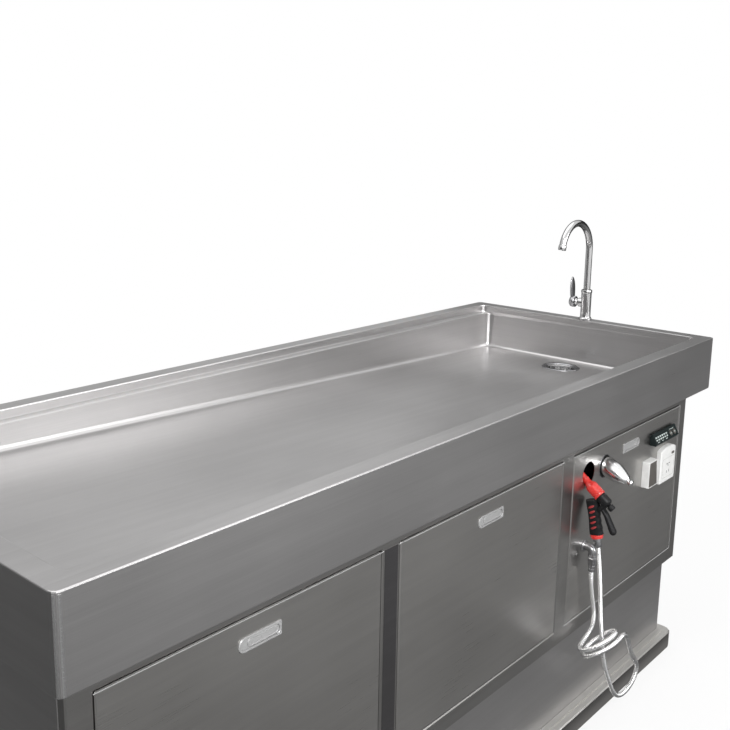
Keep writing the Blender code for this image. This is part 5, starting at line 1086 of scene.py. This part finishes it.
def lay_floor():
    """A white floor that keeps the object's shadow near it and fades into the background."""
    nodes = flat("floor", lying((-30, -30), (30, 30), FLOOR_Z))[1]
    base = nodes.tree.nodes["Principled BSDF"]
    base.inputs["Base Color"].default_value = (0.86, 0.86, 0.86, 1.0)
    base.inputs["Roughness"].default_value = 0.9
    reach = nodes.node("ShaderNodeVectorMath", operation="LENGTH")
    nodes.wire(nodes.node("ShaderNodeTexCoord").outputs["Object"], reach.inputs[0])
    fade = nodes.ramp(reach.outputs["Value"], 0.80, 1.0, FADE_FROM, FADE_TO)
    mix = nodes.node("ShaderNodeMixShader")
    nodes.wire(nodes.math("MULTIPLY", nodes.background_rays(), fade), mix.inputs[0])
    nodes.wire(base.outputs[0], mix.inputs[1])
    nodes.wire(nodes.node("ShaderNodeEmission").outputs[0], mix.inputs[2])
    nodes.wire(mix.outputs[0], nodes.tree.nodes["Material Output"].inputs["Surface"])


def glowing(obj, nodes, strength):
    """Let a card shine for metal alone, and give the socket of its strength."""
    for rays in ("camera", "diffuse", "shadow", "transmission"):
        setattr(obj, "visible_" + rays, False)
    nodes.tree.nodes.remove(nodes.tree.nodes["Principled BSDF"])
    glow = nodes.node("ShaderNodeEmission")
    glow.inputs["Strength"].default_value = strength
    nodes.wire(glow.outputs[0], nodes.tree.nodes["Material Output"].inputs["Surface"])
    return glow.inputs["Strength"]


def lay_front_card():
    """A grey card on the floor in front, lighter farther out and to the left, with soft patches."""
    card, nodes = flat("card", lying((-4.0, -6.0), (7.0, -0.41)))
    strength = glowing(card, nodes, 1.0)
    place = nodes.node("ShaderNodeTexCoord").outputs["Object"]
    split = nodes.node("ShaderNodeSeparateXYZ")
    nodes.wire(place, split.inputs[0])
    noise = nodes.node("ShaderNodeTexNoise")
    noise.inputs["Scale"].default_value = 1.1
    noise.inputs["Detail"].default_value = 1.0
    nodes.wire(place, noise.inputs["Vector"])
    away = nodes.ramp(split.outputs["Y"], 0.172, 0.325, -0.6, -2.2)
    sideways = nodes.ramp(split.outputs["X"], 1.12, 0.68, 0.0, 4.5)
    patches = nodes.ramp(noise.outputs["Fac"], 0.85, 1.20, 0.35, 0.65)
    nodes.wire(nodes.math("MULTIPLY", nodes.math("MULTIPLY", away, sideways), patches), strength)


light_world()
lay_floor()
lay_front_card()
for name, points, strength in (
        ("left_card", lying((-6.0, -0.40), (-1.12, 6.0)), 0.11),
        ("back_card", lying((-1.12, 0.45), (8.0, 6.0)), 0.14),
        ("right_card", lying((1.12, -0.40), (8.0, 0.45)), 0.14),
        ("card_back", standing((-7.0, 5.0), (8.5, 5.0), 6.0), 0.54),
        ("card_right", standing((7.0, 5.0), (7.0, -6.0), 4.0), 0.06),
        ("card_left", standing((-5.5, 5.0), (-5.5, -4.2), 4.0), 0.14)):
    glowing(*flat(name, points), strength)
lamp("key", (-2.6, -4.2, 4.2), (0.2, -0.2, 0.7), (2.4, 1.8), 260.0)
lamp("top", (0.6, 0.6, 4.2), (0.3, 0.0, 0.9), (4.5, 3.0), 42.0)
lamp("wall", (1.7, -3.9, 2.2), (-0.5, 0.4, 0.93), (2.2, 1.0), 34.0)

bpy.context.scene.view_settings.view_transform = "Standard"
